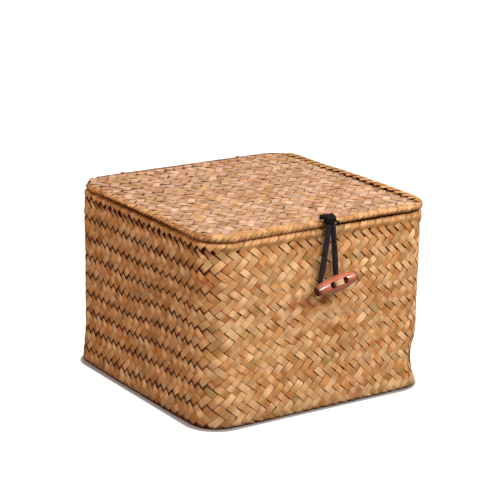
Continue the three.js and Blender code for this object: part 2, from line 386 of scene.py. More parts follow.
def dressed(
    sheet: Sheet, mesh: Wire, place: Wire, level: Value, position: Wire, material: Wire,
    output: Node,
) -> None:
    """Ends a strip tree: stores the place on the strip, moves the points, and sets the material.

    Args:
        sheet: The geometry tree.
        mesh: The strips.
        place: The place on the strip, as across, along and strip number.
        level: How far up the strip lies in the weave, from -1 under to 1 over, with painted shade taken off
            and painted highlight added; the material paints shade where it is low and a highlight above 1.
        position: Where each point goes.
        material: The material input.
        output: The tree's output node.
    """
    stored = sheet.stored(mesh, STRAW_PLACE, place, "FLOAT_VECTOR")
    stored = sheet.stored(stored, STRAW_LEVEL_AND_SHADE, level, "FLOAT")
    moved = sheet.wire("GeometryNodeSetPosition", "Geometry", {"Geometry": stored, "Position": position})
    real = sheet.wire("GeometryNodeRealizeInstances", "Geometry", {"Geometry": moved})
    smooth = sheet.wire("GeometryNodeSetShadeSmooth", "Geometry", {"Geometry": real})
    bend = sheet.wire("GeometryNodeInputMeshEdgeAngle", "Unsigned Angle")
    given = {"Geometry": smooth, "Selection": bend.over(CRISP_EDGE), "Shade Smooth": False}
    crisp = sheet.wire("GeometryNodeSetShadeSmooth", "Geometry", given, domain="EDGE")
    done = sheet.wire("GeometryNodeSetMaterial", "Geometry", {"Geometry": crisp, "Material": material})
    sheet.feed(output.inputs[0], done)


def random_of(sheet: Sheet, strip: Wire, low: float, high: float, seed: Value) -> Wire:
    """A fixed random number for each strip."""
    given = {"ID": strip, "Seed": seed, "Min": low, "Max": high}
    return sheet.wire("FunctionNodeRandomValue", "Value", given, data_type="FLOAT")


ROW_START = 0.5
DIVE_POWER = 0.7


def over_and_under(sheet: Sheet, crossing: Wire) -> Wire:
    """The height, from -1 to 1, of a strip that goes over two and under two with steep dives."""
    return sheet.math("COSINE", (crossing - ROW_START) * (math.pi / 2)).raised(DIVE_POWER)


def peak(sheet: Sheet, crossing: Wire, place: float, power: float) -> Wire:
    """A bump from 0 to 1 at one place in each row of four crossings, narrower at a high power."""
    return sheet.math("COSINE", (crossing - place) * (math.pi / 2)).kept().raised(power)


DRIFT_LENGTH = 22.0 * MM
BUMP_LENGTH = 9.0 * MM
TWIST_LENGTH = 8.0 * MM


def hand_laid(
    sheet: Sheet, size: Mapping[str, Wire], strip: Wire, along: Wire
) -> tuple[Wire, Wire, Wire, Wire]:
    """What the hand work does to each strip, by fixed random numbers and smooth noise along it.

    Args:
        sheet: The geometry tree.
        size: The tree's inputs.
        strip: The strip's number.
        along: The length along it.

    Returns:
        Its share of the usual width, and its drift aside, its rise and its twist at that place.
    """
    seed = size["Seed"]
    cut = 1.0 + random_of(sheet, strip, -1.0, 1.0, seed) * size["Uneven Width"]
    drift = sheet.wobble((strip * 7.31 + seed, along / DRIFT_LENGTH, 0.0)) * size["Wander"]
    uneven = sheet.wobble((strip * 3.17 + seed, along / BUMP_LENGTH, 4.0)) * size["Uneven Height"]
    twist = sheet.wobble((strip * 5.31 + seed, along / TWIST_LENGTH, 7.0)) * 2.0 * size["Twist"]
    return cut, drift, uneven, twist


ARC_POINTS = 14
LEFT_CORNER = 1
RIGHT_CORNER = 3


def corner_radii(sheet: Sheet, size: Mapping[str, Wire]) -> Wire:
    """The radius of each corner of a plan, whose left and right corners differ from the others."""
    corner = sheet.wire("GeometryNodeInputIndex", 0)
    is_left = sheet.math("COMPARE", corner, LEFT_CORNER, 0.5)
    is_right = sheet.math("COMPARE", corner, RIGHT_CORNER, 0.5)
    plain = size["Corner Radius"] * (1.0 - is_left - is_right)
    return plain + is_left * size["Left Corner"] + is_right * size["Right Corner"]


def rounded_rectangle(sheet: Sheet, width: Value, depth: Value, radius: Value) -> Wire:
    """A closed rectangle with round corners, from the top of its right side, anticlockwise."""
    plain = sheet.wire("GeometryNodeCurvePrimitiveQuadrilateral", "Curve", {"Width": width, "Height": depth})
    given = {"Curve": plain, "Count": ARC_POINTS, "Radius": radius}
    return sheet.wire("GeometryNodeFilletCurve", "Curve", given, mode="POLY")


def sampled(sheet: Sheet, curve: Wire, along: Wire) -> tuple[Wire, Wire, Wire, Wire]:
    """Reads a closed flat curve at a length.

    Args:
        sheet: The geometry tree.
        curve: The closed curve in its own XY plane.
        along: The length along it, which may run past its ends.

    Returns:
        X and Y there, and the X and Y of the normal that points out of the curve.
    """
    total = sheet.wire("GeometryNodeCurveLength", "Length", {"Curve": curve})
    given = {"Curves": curve, "Length": sheet.math("WRAP", along, total, 0.0)}
    node = sheet.node("GeometryNodeSampleCurve", given, mode="LENGTH")
    x, y, _ = sheet.parts(Wire(sheet, pick(node.outputs, "Position")))
    tangent_x, tangent_y, _ = sheet.parts(Wire(sheet, pick(node.outputs, "Tangent")))
    return x, y, tangent_y, -tangent_x


BAND_SIZES = kinds(
    INT="Strips, Segments, Seed",
    FLOAT="Width, Corner Radius, Left Corner, Right Corner, Section Width, Section Height, Section Radius, "
    "Base Height, Run Start, Run End, Slope, Slant, Strip Width, Strip Thickness, Lift, Shingle, "
    "Uneven Width, Uneven Height, Twist, Pinch, Wander, Waist, Neck, Right Dent, Comb, Left Cut, "
    "Front Cut, Corner Flare, Foot Flare, Ripple, Pairing, Front Tuck, Warp, Near Trim, Near Overlap, "
    "Back Trim, Back Sink, Left Sink, Right Bow, End Shade, Sway, Crowding, Row Lift, Row Stretch, "
    "Foot Bow, Right Lean, Right Width",
    MATERIAL="Material",
)
PLAIN_BAND = {name: 0.0 for name, kind in BAND_SIZES.items() if kind == "FLOAT"}
PLAIN_BAND |= {"Right Lean": 1.0, "Right Width": 1.0}
# How squarely a side has to face one way: an effect there eases in between the two values.
WIDE_FACING = (0.3, 0.9)
MOST_FACING = (0.35, 0.9)
HALF_FACING = (0.5, 0.9)
CLEAR_FACING = (0.6, 0.95)
SQUARE_FACING = (0.8, 1.0)
TUCK_LENGTH = 4.5 * MM
COMB_LOW = -7.4 * MM
COMB_HIGH = -5.2 * MM
COMB_PAIRING = 0.5 * MM
DENT_LEVEL = 20.0 * MM
DENT_ABOVE = 27.0 * MM
DENT_BELOW = 26.0 * MM
TOE_HEIGHT = 8.0 * MM
PINCH_CROSSING = 3.25
ROW_END = 3.5
ROW_TIP = 2.1
ROW_PATCH = 14.0 * MM
TIP_LIGHT = 0.8
TAPER_START = 1.8 * MM
TAPER_END = 6.5 * MM
FOOT_LOW = 0.2 * MM
FOOT_HIGH = 1.3 * MM
SLIT_LOW = -24.0 * MM
SLIT_HIGH = -16.0 * MM
SWAY_REACH = 62.0 * MM
BOW_MIDDLE = -30.0 * MM
BOW_REACH = 75.0 * MM
NECK_LOW = 124.0 * MM
NECK_HIGH = 131.0 * MM
WARP_REACH = 72.0 * MM
WARP_MIDDLE = 58.0 * MM
RIPPLE_LENGTH = 48.0 * MM


def band_tree() -> NodeTree:
    """Draws the tree that lays one family of slanting strips round a square band.

    The band's plan and its upright section are rounded rectangles. A strip's place along the section
    starts at the top of the outer side: below 0 is down the outer side and under the bottom, above 0 is
    over the top and down the inner side.

    Returns:
        The geometry tree, with its sizes as named inputs.
    """
    sheet, size, output = named_tree("slanting_band", "GeometryNodeTree", BAND_SIZES, {"Mesh": "GEOMETRY"})
    mesh, strip, share, across, through = laid_strips(sheet, size["Strips"], size["Segments"])
    plan = rounded_rectangle(sheet, size["Width"], size["Width"], corner_radii(sheet, size))
    section = rounded_rectangle(sheet, size["Section Width"], size["Section Height"], size["Section Radius"])
    pitch = sheet.wire("GeometryNodeCurveLength", "Length", {"Curve": plan}) / size["Strips"]
    paired = sheet.math("MODULO", strip, 2.0) * size["Pairing"]
    root = (strip - paired) * pitch
    _, _, facing_x, facing_y = sampled(sheet, plan, root)
    right = facing_x.eased(*CLEAR_FACING)
    near = (-facing_x).eased(*WIDE_FACING).at_least((-facing_y).eased(*WIDE_FACING))
    behind = facing_y.eased(*MOST_FACING)

    steepness = sheet.math("TANGENT", size["Slope"])
    usual_lean = size["Slant"] / steepness
    lean = usual_lean * (1.0 + right * (size["Right Lean"] - 1.0))
    stretch = (lean * lean + 1.0).root()
    fuller = (usual_lean * usual_lean + 1.0).root() / stretch
    on_left = (-facing_x).eased(*WIDE_FACING)
    in_front = (-facing_y).eased(*CLEAR_FACING)
    run_end = size["Run End"] - near * size["Near Trim"] - behind * size["Back Trim"]
    run_start = size["Run Start"] + on_left * size["Left Cut"] + in_front * size["Front Cut"]
    rise = run_start + share * (run_end - run_start)
    along = rise * stretch

    cut, drift, uneven, twist = hand_laid(sheet, size, strip, along)
    taper = (1.0 - size["Right Width"]) * random_of(sheet, strip, 0.5, 1.5, size["Seed"] + 5.0)
    taper = taper * right * rise.eased(TAPER_START, TAPER_END)
    half_width = size["Strip Width"] * 0.5 * fuller * cut * (1.0 - taper)
    crossing = rise * 2.0 / (pitch * steepness)
    middle_x, middle_y, local_x, local_y = sampled(sheet, plan, root + rise * lean)
    leftness = (-local_x).eased(*CLEAR_FACING)
    forwardness = (-local_y).eased(*HALF_FACING)
    comb = leftness * rise.eased(COMB_LOW, COMB_HIGH) * size["Comb"]
    slit = forwardness * rise.eased(SLIT_LOW, SLIT_HIGH) * 0.2
    upper_end = peak(sheet, crossing, PINCH_CROSSING, 3.0) * (0.05 + 0.3 * leftness)
    pinch = upper_end.at_least(comb).at_least(slit) * size["Pinch"]
    half_width = half_width * (1.0 + near * size["Near Overlap"]) * (1.0 - pinch)
    half = size["Width"] * 0.5
    crowding = forwardness * size["Crowding"]
    half_width = half_width * (1.0 - middle_x / half * crowding / half * 2.0)
    drift = drift + comb * (sheet.math("MODULO", strip, 2.0) - 0.5) * COMB_PAIRING
    lateral = -across * half_width + drift
    depth = (-rise / size["Section Height"]).kept()
    sway = sheet.math("SINE", depth * math.pi) * size["Sway"]
    row_sway = sheet.wobble((middle_x, middle_y, rise), 1.0 / SWAY_REACH) * sway
    side_sway = sheet.wobble((middle_x, middle_y, rise + 2.0), 1.0 / SWAY_REACH) * sway
    crowded = (1.0 - (middle_x / half).size().raised(2.0)).kept() * crowding
    sheet_x = root + rise * lean + lateral / stretch + side_sway + crowded
    near_corner = (-middle_y).eased(-28.0 * MM, 45.0 * MM) * (-middle_x).eased(-10.0 * MM, 60.0 * MM)
    row_lift = near_corner * depth.eased(0.12, 0.5) * size["Row Lift"]
    drawn_down = 1.0 + (-middle_x).eased(-20.0 * MM, 98.0 * MM) * size["Row Stretch"]
    sheet_up = rise * drawn_down - lateral * lean / stretch + row_sway + row_lift

    level = over_and_under(sheet, crossing) * size["Slant"]
    level = level * (1.0 - comb) - comb * size["Slant"]
    # Painted shade: a dark zigzag along the ends of each row of floats, where one strip dives under the next,
    # strongest on the left wall.
    row_end = peak(sheet, crossing, ROW_END, 2.2)
    row_end = row_end * (0.55 + sheet.noise((middle_x, middle_y, rise), 1.0 / ROW_PATCH))
    shown = level - row_end * (1.0 - comb) * (0.22 + 1.0 * leftness) * size["End Shade"]
    # Painted highlight: the tip of each float before a row end is made lighter, most on the left wall.
    tip = peak(sheet, crossing, ROW_TIP, 2.0)
    shown = shown + tip * leftness * TIP_LIGHT * size["End Shade"]
    wave = level * size["Lift"]
    tilt = across * (size["Shingle"] * (1.0 - near * 0.75) + twist)
    near_end = 1.0 - (sheet_up - run_start).eased(0.0, TUCK_LENGTH)
    tuck = in_front * near_end * size["Front Tuck"]
    lift = wave + uneven + tilt - tuck + through * size["Strip Thickness"] * 0.5

    plan_x, plan_y, out_x, out_y = sampled(sheet, plan, sheet_x)
    side_x, side_y, side_out, side_up = sampled(sheet, section, sheet_up)
    outward = side_x - size["Section Width"] * 0.5 + lift * side_out
    height = side_y + size["Section Height"] * 0.5 + lift * side_up
    drawn_in = sheet.math("SINE", (height / size["Section Height"]).kept() * math.pi) * size["Waist"]
    necked = height.eased(NECK_LOW, NECK_HIGH) * (1.0 - (-out_y).eased(*HALF_FACING))
    drawn_in = drawn_in + necked * size["Neck"]
    towards_right = out_x.at_least(0.0) * (-out_y).at_least(0.0) * 2.0
    above = ((height - DENT_LEVEL) / DENT_ABOVE).kept()
    below = ((DENT_LEVEL - height) / DENT_BELOW).kept()
    dent = (1.0 - above - below).eased() - (1.0 - height.eased(0.0, TOE_HEIGHT)) * 0.1
    drawn_in = drawn_in + dent * towards_right * size["Right Dent"]
    cornerness = 1.0 - out_x.size().at_least(out_y.size())
    low_down = 1.0 - height.eased(0.0, 30.0 * MM)
    flare = low_down * (cornerness * size["Corner Flare"] * 3.4 + size["Foot Flare"])
    aside = plan_x.size().at_most(plan_y.size()) / half
    foot = 1.0 - height.eased(0.0, 28.0 * MM)
    bow_share = 0.35 + (-out_x).eased(*HALF_FACING) * 0.65
    flare = flare + foot * (1.0 - aside.raised(4.0)) * bow_share * size["Foot Bow"]
    ripple = sheet.wobble((plan_x, plan_y, height), 1.0 / RIPPLE_LENGTH) * size["Ripple"]
    outward = outward - drawn_in + flare + ripple
    left_bow = (-out_x).eased(*SQUARE_FACING) * (1.0 - (plan_y.size() / WARP_REACH).kept().raised(2.0))
    past_front = ((plan_x - WARP_MIDDLE).size() / WARP_REACH).kept().raised(2.0)
    front_bow = (-out_y).eased(*SQUARE_FACING) * (1.0 - past_front)
    upper_share = (height / size["Section Height"]).kept()
    height = height + (left_bow + front_bow) * (1.0 - upper_share) * size["Warp"]
    height = height - out_y.eased(*MOST_FACING) * upper_share * size["Back Sink"]
    height = height - (-out_x).eased(*MOST_FACING) * upper_share * size["Left Sink"]
    past_right = ((plan_y - BOW_MIDDLE).size() / BOW_REACH).kept().raised(2.0)
    height = height + out_x.eased(*MOST_FACING) * (1.0 - past_right) * upper_share * size["Right Bow"]
    upright = size["Base Height"] + height
    position = sheet.vector(plan_x + out_x * outward, plan_y + out_y * outward, upright)
    # Painted shade: the strips darken along the foot, where the walls turn under the base.
    shown = shown - (1.0 - height.eased(FOOT_LOW, FOOT_HIGH)) * size["End Shade"]
    place = sheet.vector(-across * half_width, along, strip)
    dressed(sheet, mesh, place, shown, position, size["Material"], output)
    return sheet.tree


PADDING_SIZES = kinds(
    INT="Segments, Strands",
    FLOAT="Width, Corner Radius, Left Corner, Right Corner, Inset, Level, Padding Width, Padding Height",
    MATERIAL="Material",
)


def padding_tree() -> NodeTree:
    """Draws the tree that lays a bundle of straws round inside a folded border, as its padding.

    Returns:
        The geometry tree, with its sizes as named inputs.
    """
    sheet, size, output = named_tree("padding_ring", "GeometryNodeTree", PADDING_SIZES, {"Mesh": "GEOMETRY"})
    mesh, strand, share, across, through = laid_strips(sheet, size["Strands"], size["Segments"])
    plan = rounded_rectangle(sheet, size["Width"], size["Width"], corner_radii(sheet, size))
    around = sheet.wire("GeometryNodeCurveLength", "Length", {"Curve": plan})
    along = share * around
    plan_x, plan_y, out_x, out_y = sampled(sheet, plan, along)
    half_width = size["Padding Width"] * 0.5 / size["Strands"]
    aside = (strand * 2.0 + 1.0 - size["Strands"] + across) * half_width - size["Inset"]
    height = size["Level"] + through * size["Padding Height"] * 0.5
    position = sheet.vector(plan_x + out_x * aside, plan_y + out_y * aside, height)
    place = sheet.vector(across * half_width, along, strand)
    # Painted shade: on the right side the straws are stored as lying under, so their material paints them
    # dark, as the shade in the gaps there.
    shown = 1.0 - out_x.eased(0.7, 0.95) * 2.0
    dressed(sheet, mesh, place, shown, position, size["Material"], output)
    return sheet.tree


PANEL_SIZES = kinds(
    INT="Strips, Segments, Seed",
    FLOAT="Pitch, Half Width, Corner Radius, Slant, Strip Width, Strip Thickness, Lift, Uneven Width, "
    "Uneven Height, Twist, Wander, Back Reach, Right Reach, Edge Drop, Edge Roll, Ripple",
    VECTOR="Centre",
    MATERIAL="Material",
)


PANEL_RIPPLE_LENGTH = 52.0 * MM
GAP_LENGTH = 9.0 * MM


def past_square(beyond_x: Wire, beyond_y: Wire) -> Wire:
    """How far a point is past a round-cornered square, from how far it is past its sides along X and Y."""
    round_x, round_y = beyond_x.at_least(0.0), beyond_y.at_least(0.0)
    return (round_x * round_x + round_y * round_y).root() + beyond_x.at_least(beyond_y).at_most(0.0)


def panel_tree() -> NodeTree:
    """Draws the tree that lays one family of diagonal strips across a flat square panel.

    Returns:
        The geometry tree, with its sizes as named inputs.
    """
    sheet, size, output = named_tree("diagonal_panel", "GeometryNodeTree", PANEL_SIZES, {"Mesh": "GEOMETRY"})
    mesh, strip, share, across, through = laid_strips(sheet, size["Strips"], size["Segments"])
    middle = (size["Strips"] - 1.0) * 0.5
    offset = (strip - middle) * size["Pitch"]
    radius = size["Corner Radius"]
    corner = (size["Half Width"] - radius) * math.sqrt(2)
    bend = radius * math.sqrt(0.5)
    far = offset.size()
    straight = size["Half Width"] * math.sqrt(2) - far
    in_corner = corner + (radius * radius - far * far).root()
    past = far - corner
    at_tip = (radius * radius - past * past).at_least(0.0).root()
    on_side = far.over(bend)
    on_tip = far.over(corner + bend)
    half_length = in_corner * (1.0 - on_side) + (on_side - on_tip) * straight + on_tip * at_tip
    along = (share * 2.0 - 1.0) * half_length

    cut, drift, uneven, twist = hand_laid(sheet, size, strip, along)
    half_width = size["Strip Width"] * 0.5 * cut
    sideways = offset + across * half_width + drift
    crossing = size["Slant"] * along / size["Pitch"] + strip + middle
    level = over_and_under(sheet, crossing) * size["Slant"]
    lift = level * size["Lift"] + uneven + across * twist + through * size["Strip Thickness"] * 0.5
    row_end = peak(sheet, crossing, ROW_END, 3.0)

    x = (along - size["Slant"] * sideways) * math.sqrt(0.5)
    y = size["Slant"] * (along + size["Slant"] * sideways) * math.sqrt(0.5)
    flat_half = size["Half Width"] - radius
    inside = radius - past_square(x.size() - flat_half, y.size() - flat_half)
    fall = (1.0 - inside.eased(0.0, size["Edge Roll"])) * size["Edge Drop"]
    centre_x, centre_y, centre_z = sheet.parts(size["Centre"])
    ripple = sheet.wobble((x, y, 0.0), 1.0 / PANEL_RIPPLE_LENGTH) * size["Ripple"]
    reached = y + (y / size["Half Width"]).kept().raised(5.0) * size["Back Reach"]
    widened = x + (x / size["Half Width"]).kept().raised(5.0) * size["Right Reach"]
    position = sheet.vector(centre_x + widened, centre_y + reached, centre_z + lift - fall + ripple)
    # Painted shade: dark specks at row ends, in patches, where a strip dives under the next, more towards the
    # back left.
    gappy = sheet.noise((x, y, 3.0), 1.0 / GAP_LENGTH, 1.0).eased(0.45, 0.6)
    back_left = ((y - x) / size["Half Width"]).eased(-0.3, 1.1)
    shown = level - row_end * gappy * (0.4 + 1.2 * back_left)
    place = sheet.vector(across * half_width, along, strip)
    dressed(sheet, mesh, place, shown, position, size["Material"], output)
    return sheet.tree


RING_SIZES = kinds(
    INT="Plies", FLOAT="Ring Radius, Twine Radius, Twists", VECTOR="Centre", MATERIAL="Material"
)
RING_STEPS = 96
PLY_SIDES = 10


def twine_ring_tree() -> NodeTree:
    """Draws the tree that winds a laid twine of several plies into an upright ring across X.

    Returns:
        The geometry tree, with its sizes as named inputs.
    """
    sheet, size, output = named_tree("twine_ring", "GeometryNodeTree", RING_SIZES, {"Mesh": "GEOMETRY"})
    given = {"Resolution": RING_STEPS, "Radius": 1.0}
    circle = sheet.wire("GeometryNodeCurvePrimitiveCircle", "Curve", given)
    given = {"Geometry": circle, "Amount": size["Plies"]}
    copies = sheet.node("GeometryNodeDuplicateElements", given, domain="SPLINE")
    ply = Wire(sheet, copies.outputs["Duplicate Index"])
    share = sheet.wire("GeometryNodeSplineParameter", "Factor")
    turn = share * (2 * math.pi)
    roll = (share * size["Twists"] + ply / size["Plies"]) * (2 * math.pi)
    ply_radius = size["Twine Radius"] * 0.56
    ply_offset = size["Twine Radius"] * 0.5
    ring = size["Ring Radius"] + sheet.math("COSINE", roll) * ply_offset
    centre_x, centre_y, centre_z = sheet.parts(size["Centre"])
    position = sheet.vector(
        centre_x + sheet.math("SINE", roll) * ply_offset,
        centre_y + sheet.math("COSINE", turn) * ring,
        centre_z + sheet.math("SINE", turn) * ring,
    )
    place = sheet.vector(0.0, turn * size["Ring Radius"], ply)
    stored = sheet.stored(copies.outputs["Geometry"], STRAW_PLACE, place, "FLOAT_VECTOR")
    wound = sheet.wire("GeometryNodeSetPosition", "Geometry", {"Geometry": stored, "Position": position})
    given = {"Resolution": PLY_SIDES, "Radius": ply_radius}
    profile = sheet.wire("GeometryNodeCurvePrimitiveCircle", "Curve", given)
    tube = sheet.wire("GeometryNodeCurveToMesh", "Mesh", {"Curve": wound, "Profile Curve": profile})
    real = sheet.wire("GeometryNodeRealizeInstances", "Geometry", {"Geometry": tube})
    smooth = sheet.wire("GeometryNodeSetShadeSmooth", "Geometry", {"Geometry": real})
    given = {"Geometry": smooth, "Material": size["Material"]}
    sheet.feed(output.inputs[0], sheet.wire("GeometryNodeSetMaterial", "Geometry", given))
    return sheet.tree


Colour = tuple[float, float, float, float]
WHITE: Colour = (1.0, 1.0, 1.0, 1.0)


def paint(red: int, green: int, blue: int) -> Colour:
    """Turns a colour as a screen shows it, 0 to 255, into the linear light that a shader takes.

    Args:
        red: The red part.
        green: The green part.
        blue: The blue part.

    Returns:
        The linear colour, with full alpha.
    """

    def linear(value: int) -> float:
        """One part as linear light."""
        share = value / 255
        return share / 12.92 if share <= 0.04045 else ((share + 0.055) / 1.055) ** 2.4

    return linear(red), linear(green), linear(blue), 1.0


def new_material(name: str) -> tuple[Material, Sheet, Node]:
    """Starts a material with a Principled shader wired to its output.

    Args:
        name: The material's name.

    Returns:
        The material, its tree and its shader.
    """
    material = bpy.data.materials.new(name)
    material.use_nodes = True
    material.node_tree.nodes.clear()
    sheet = Sheet(material.node_tree)
    shader = sheet.node("ShaderNodeBsdfPrincipled")
    sheet.node("ShaderNodeOutputMaterial", {"Surface": shader.outputs[0]})
    return material, sheet, shader


def attribute(sheet: Sheet, name: str) -> tuple[Wire, Wire, Wire]:
    """Reads the three values of a place that a piece's mesh carries."""
    node = sheet.node("ShaderNodeAttribute", attribute_name=name, attribute_type="GEOMETRY")
    return sheet.parts(Wire(sheet, node.outputs["Vector"]))


def fibre_group() -> NodeTree:
    """Draws the shared effect of long plant fibres on a strip.

    Returns:
        The shader group. Streaks and Height run from 0 to 1 round a middle of 0.5.
    """
    takes = kinds(FLOAT="Across, Along, Strip, Fineness")
    gives = kinds(FLOAT="Streaks, Height, Splits")
    sheet, given, output = named_tree("plant_fibre", "ShaderNodeTree", takes, gives)
    along, strip = given["Along"], given["Strip"]
    wide = given["Across"] * given["Fineness"]
    coarse = sheet.noise((wide, along * 55.0, strip * 3.7), 1.0, 2.0)
    fine = sheet.noise((wide * 3.1, along * 90.0, strip * 5.3 + 11.0), 1.0, 3.0)
    splits = sheet.noise((wide * 0.62, along * 34.0, strip * 9.1 + 31.0), 1.0, 1.0).eased(0.655, 0.72)
    streaks = (coarse * 0.55 + fine * 0.45 - 0.5) * 2.2 + 0.5
    height = coarse * 0.7 + fine * 0.3 - splits * 1.2
    sheet.fill(output, {"Streaks": streaks, "Height": height, "Splits": splits})
    return sheet.tree


# For each mask of a leaf: its steps from strip to strip and along one, its offset, and where it eases in.
LEAF_MASKS = {
    "Tone": (4.13, 1.0, 0.0, 0.33, 0.67),
    "Rust": (6.71, 0.9, 9.0, 0.62, 0.7),
    "Green": (5.37, 0.7, 21.0, 0.54, 0.7),
    "Value": (8.83, 1.3, 40.0, 0.3, 0.7),
}


def patch_group() -> NodeTree:
    """Draws the shared effect of leaf strips that differ from each other and along their length.

    Returns:
        The shader group, with four masks from 0 to 1.
    """
    takes = kinds(FLOAT="Along, Strip, Patch Length")
    gives = dict.fromkeys(LEAF_MASKS, "FLOAT")
    sheet, given, output = named_tree("leaf_patches", "ShaderNodeTree", takes, gives)
    length = given["Along"] / given["Patch Length"]
    for mask, (strip_step, length_step, offset, low, high) in LEAF_MASKS.items():
        patch = sheet.noise((given["Strip"] * strip_step, length * length_step, offset), 1.0, 1.0)
        sheet.fill(output, {mask: patch.eased(low, high)})
    return sheet.tree


@dataclass(frozen=True)
class Effects:
    """The shader groups that the finishes share."""

    fibre: NodeTree
    patches: NodeTree


@dataclass(frozen=True)
class StrawFinish:
    """Dried leaf strips: pale and golden patches, rusty and greenish ones, fibres, darker edges partly
    painted as shade between strips, and painted shade and highlight from the weave's level.
    """

    name: str
    pale: Colour
    golden: Colour
    rust: Colour
    green: Colour
    edge: Colour
    rust_share: float = 0.5
    green_share: float = 0.6
    patch_length: float = 15.0 * MM
    half_strip: float = 2.9 * MM
    edge_share: float = 0.85
    soft_edge: float = 0.75
    split_share: float = 0.35
    # Painted shade: the colour a strip takes where it dives under its neighbours, standing in for the shade
    # in the weave's crossings.
    dive_shade: Colour = paint(66, 20, 3)
    dive_shade_share: float = 0.9
    dimming: float = 0.3
    fibre_depth: float = 0.12 * MM
    roughness: float = 0.5
    seen_side: float = 1.0
    foot_shade: float = 0.0
    foot_shade_height: float = 34.0 * MM

    def material(self, effects: Effects) -> Material:
        """Builds the material.

        Args:
            effects: The shared shader groups.

        Returns:
            The material.
        """
        material, sheet, shader = new_material(self.name)
        across, along, strip = attribute(sheet, STRAW_PLACE)
        given = {"Across": across, "Along": along, "Strip": strip, "Fineness": 1500.0}
        fibres = sheet.group(effects.fibre, given)
        given = {"Along": along, "Strip": strip, "Patch Length": self.patch_length}
        leaf = sheet.group(effects.patches, given)
        streaks = fibres["Streaks"]
        colour = sheet.mix(leaf["Tone"], self.golden, self.pale)
        colour = sheet.mix(leaf["Green"] * self.green_share, colour, self.green)
        colour = sheet.mix(leaf["Rust"] * self.rust_share, colour, self.rust)
        stored = {"attribute_name": STRAW_LEVEL_AND_SHADE, "attribute_type": "GEOMETRY"}
        level = sheet.wire("ShaderNodeAttribute", "Fac", **stored) * self.seen_side
        # Darker edges: partly the strips' own edges, partly painted shade in the gaps between strips.
        rim = (across.size() / self.half_strip).eased(0.78, 1.0) * self.edge_share
        # Painted shade: the strip turns towards the dive shade colour where its stored level says it dips
        # under another strip.
        under = (1.0 - level.eased(-0.95, 0.15)) * self.dive_shade_share
        colour = sheet.mix(rim.at_least(fibres["Splits"] * self.split_share), colour, self.edge)
        value = 1.0 - (1.0 - leaf["Value"]) * self.dimming
        # Painted highlight: lighter where the stored level is above 1.
        value = value * (1.0 + (level - 1.0).kept() * 0.45)
        # Painted shade: the colour darkens towards the bottom of the walls.
        if self.foot_shade:
            _, _, height = sheet.parts(sheet.wire("ShaderNodeTexCoord", "Object"))
            value = value * (1.0 - (1.0 - height.eased(0.0, self.foot_shade_height)) * self.foot_shade)
        red, green, blue = (0.83 + streaks * 0.3, 0.82 + streaks * 0.31, 0.79 + streaks * 0.33)
        shade = sheet.vector(red * value, green * value, blue * value)
        colour = sheet.mix(1.0, colour, shade, "MULTIPLY")
        given = {"Height": fibres["Height"], "Distance": self.fibre_depth, "Strength": 0.7}
        dressing = {
            "Base Color": sheet.mix(under, colour, self.dive_shade),
            "Roughness": self.roughness + (streaks - 0.5) * 0.25,
            "Specular IOR Level": 0.16,
            "Normal": sheet.wire("ShaderNodeBump", "Normal", given),
        }
        sheet.fill(shader, dressing)
        return material

    def family(self, effects: Effects) -> dict[Slant, Material]:
        """Builds a material for each family: the rising strips' edges are fainter, as the painted shade at
        the edges follows the key light from the upper right.
        """
        soft = replace(self, name=self.name + "_rising", edge_share=self.edge_share * self.soft_edge)
        return {Slant.RISING: soft.material(effects), Slant.FALLING: self.material(effects)}


@dataclass(frozen=True)
class CordFinish:
    """Black waxed cotton cord: a fine braid with a dull sheen, and fuzz in its valleys."""

    name: str
    black: Colour
    # Paler streaks along the threads: partly the braid's own paler fibres, partly a painted bluish highlight.
    pale_streak: Colour
    roughness: float = 0.62
    shine: float = 0.35
    fuzz: float = 0.02
    thread_depth: float = 0.16 * MM

    def material(self, effects: Effects) -> Material:
        """Builds the material.

        Args:
            effects: The shared shader groups. The plant fibres serve as the yarn's threads.

        Returns:
            The material.
        """
        material, sheet, shader = new_material(self.name)
        across, along, strand = attribute(sheet, CORD_PLACE)
        given = {"Across": across + along * 0.9, "Along": along, "Strip": strand, "Fineness": 2600.0}
        threads = sheet.group(effects.fibre, given)
        streaks = threads["Streaks"]
        given = {"Height": threads["Height"], "Distance": self.thread_depth}
        dressing = {
            # Paler streaks along the threads: partly the braid's own paler fibres, partly a painted bluish
            # highlight.
            "Base Color": sheet.mix(streaks.eased(0.35, 0.8), self.black, self.pale_streak),
            "Roughness": self.roughness + (streaks - 0.5) * 0.2,
            "Specular IOR Level": self.shine,
            "Sheen Weight": self.fuzz,
            "Sheen Roughness": 0.5,
            "Normal": sheet.wire("ShaderNodeBump", "Normal", given),
        }
        sheet.fill(shader, dressing)
        return material


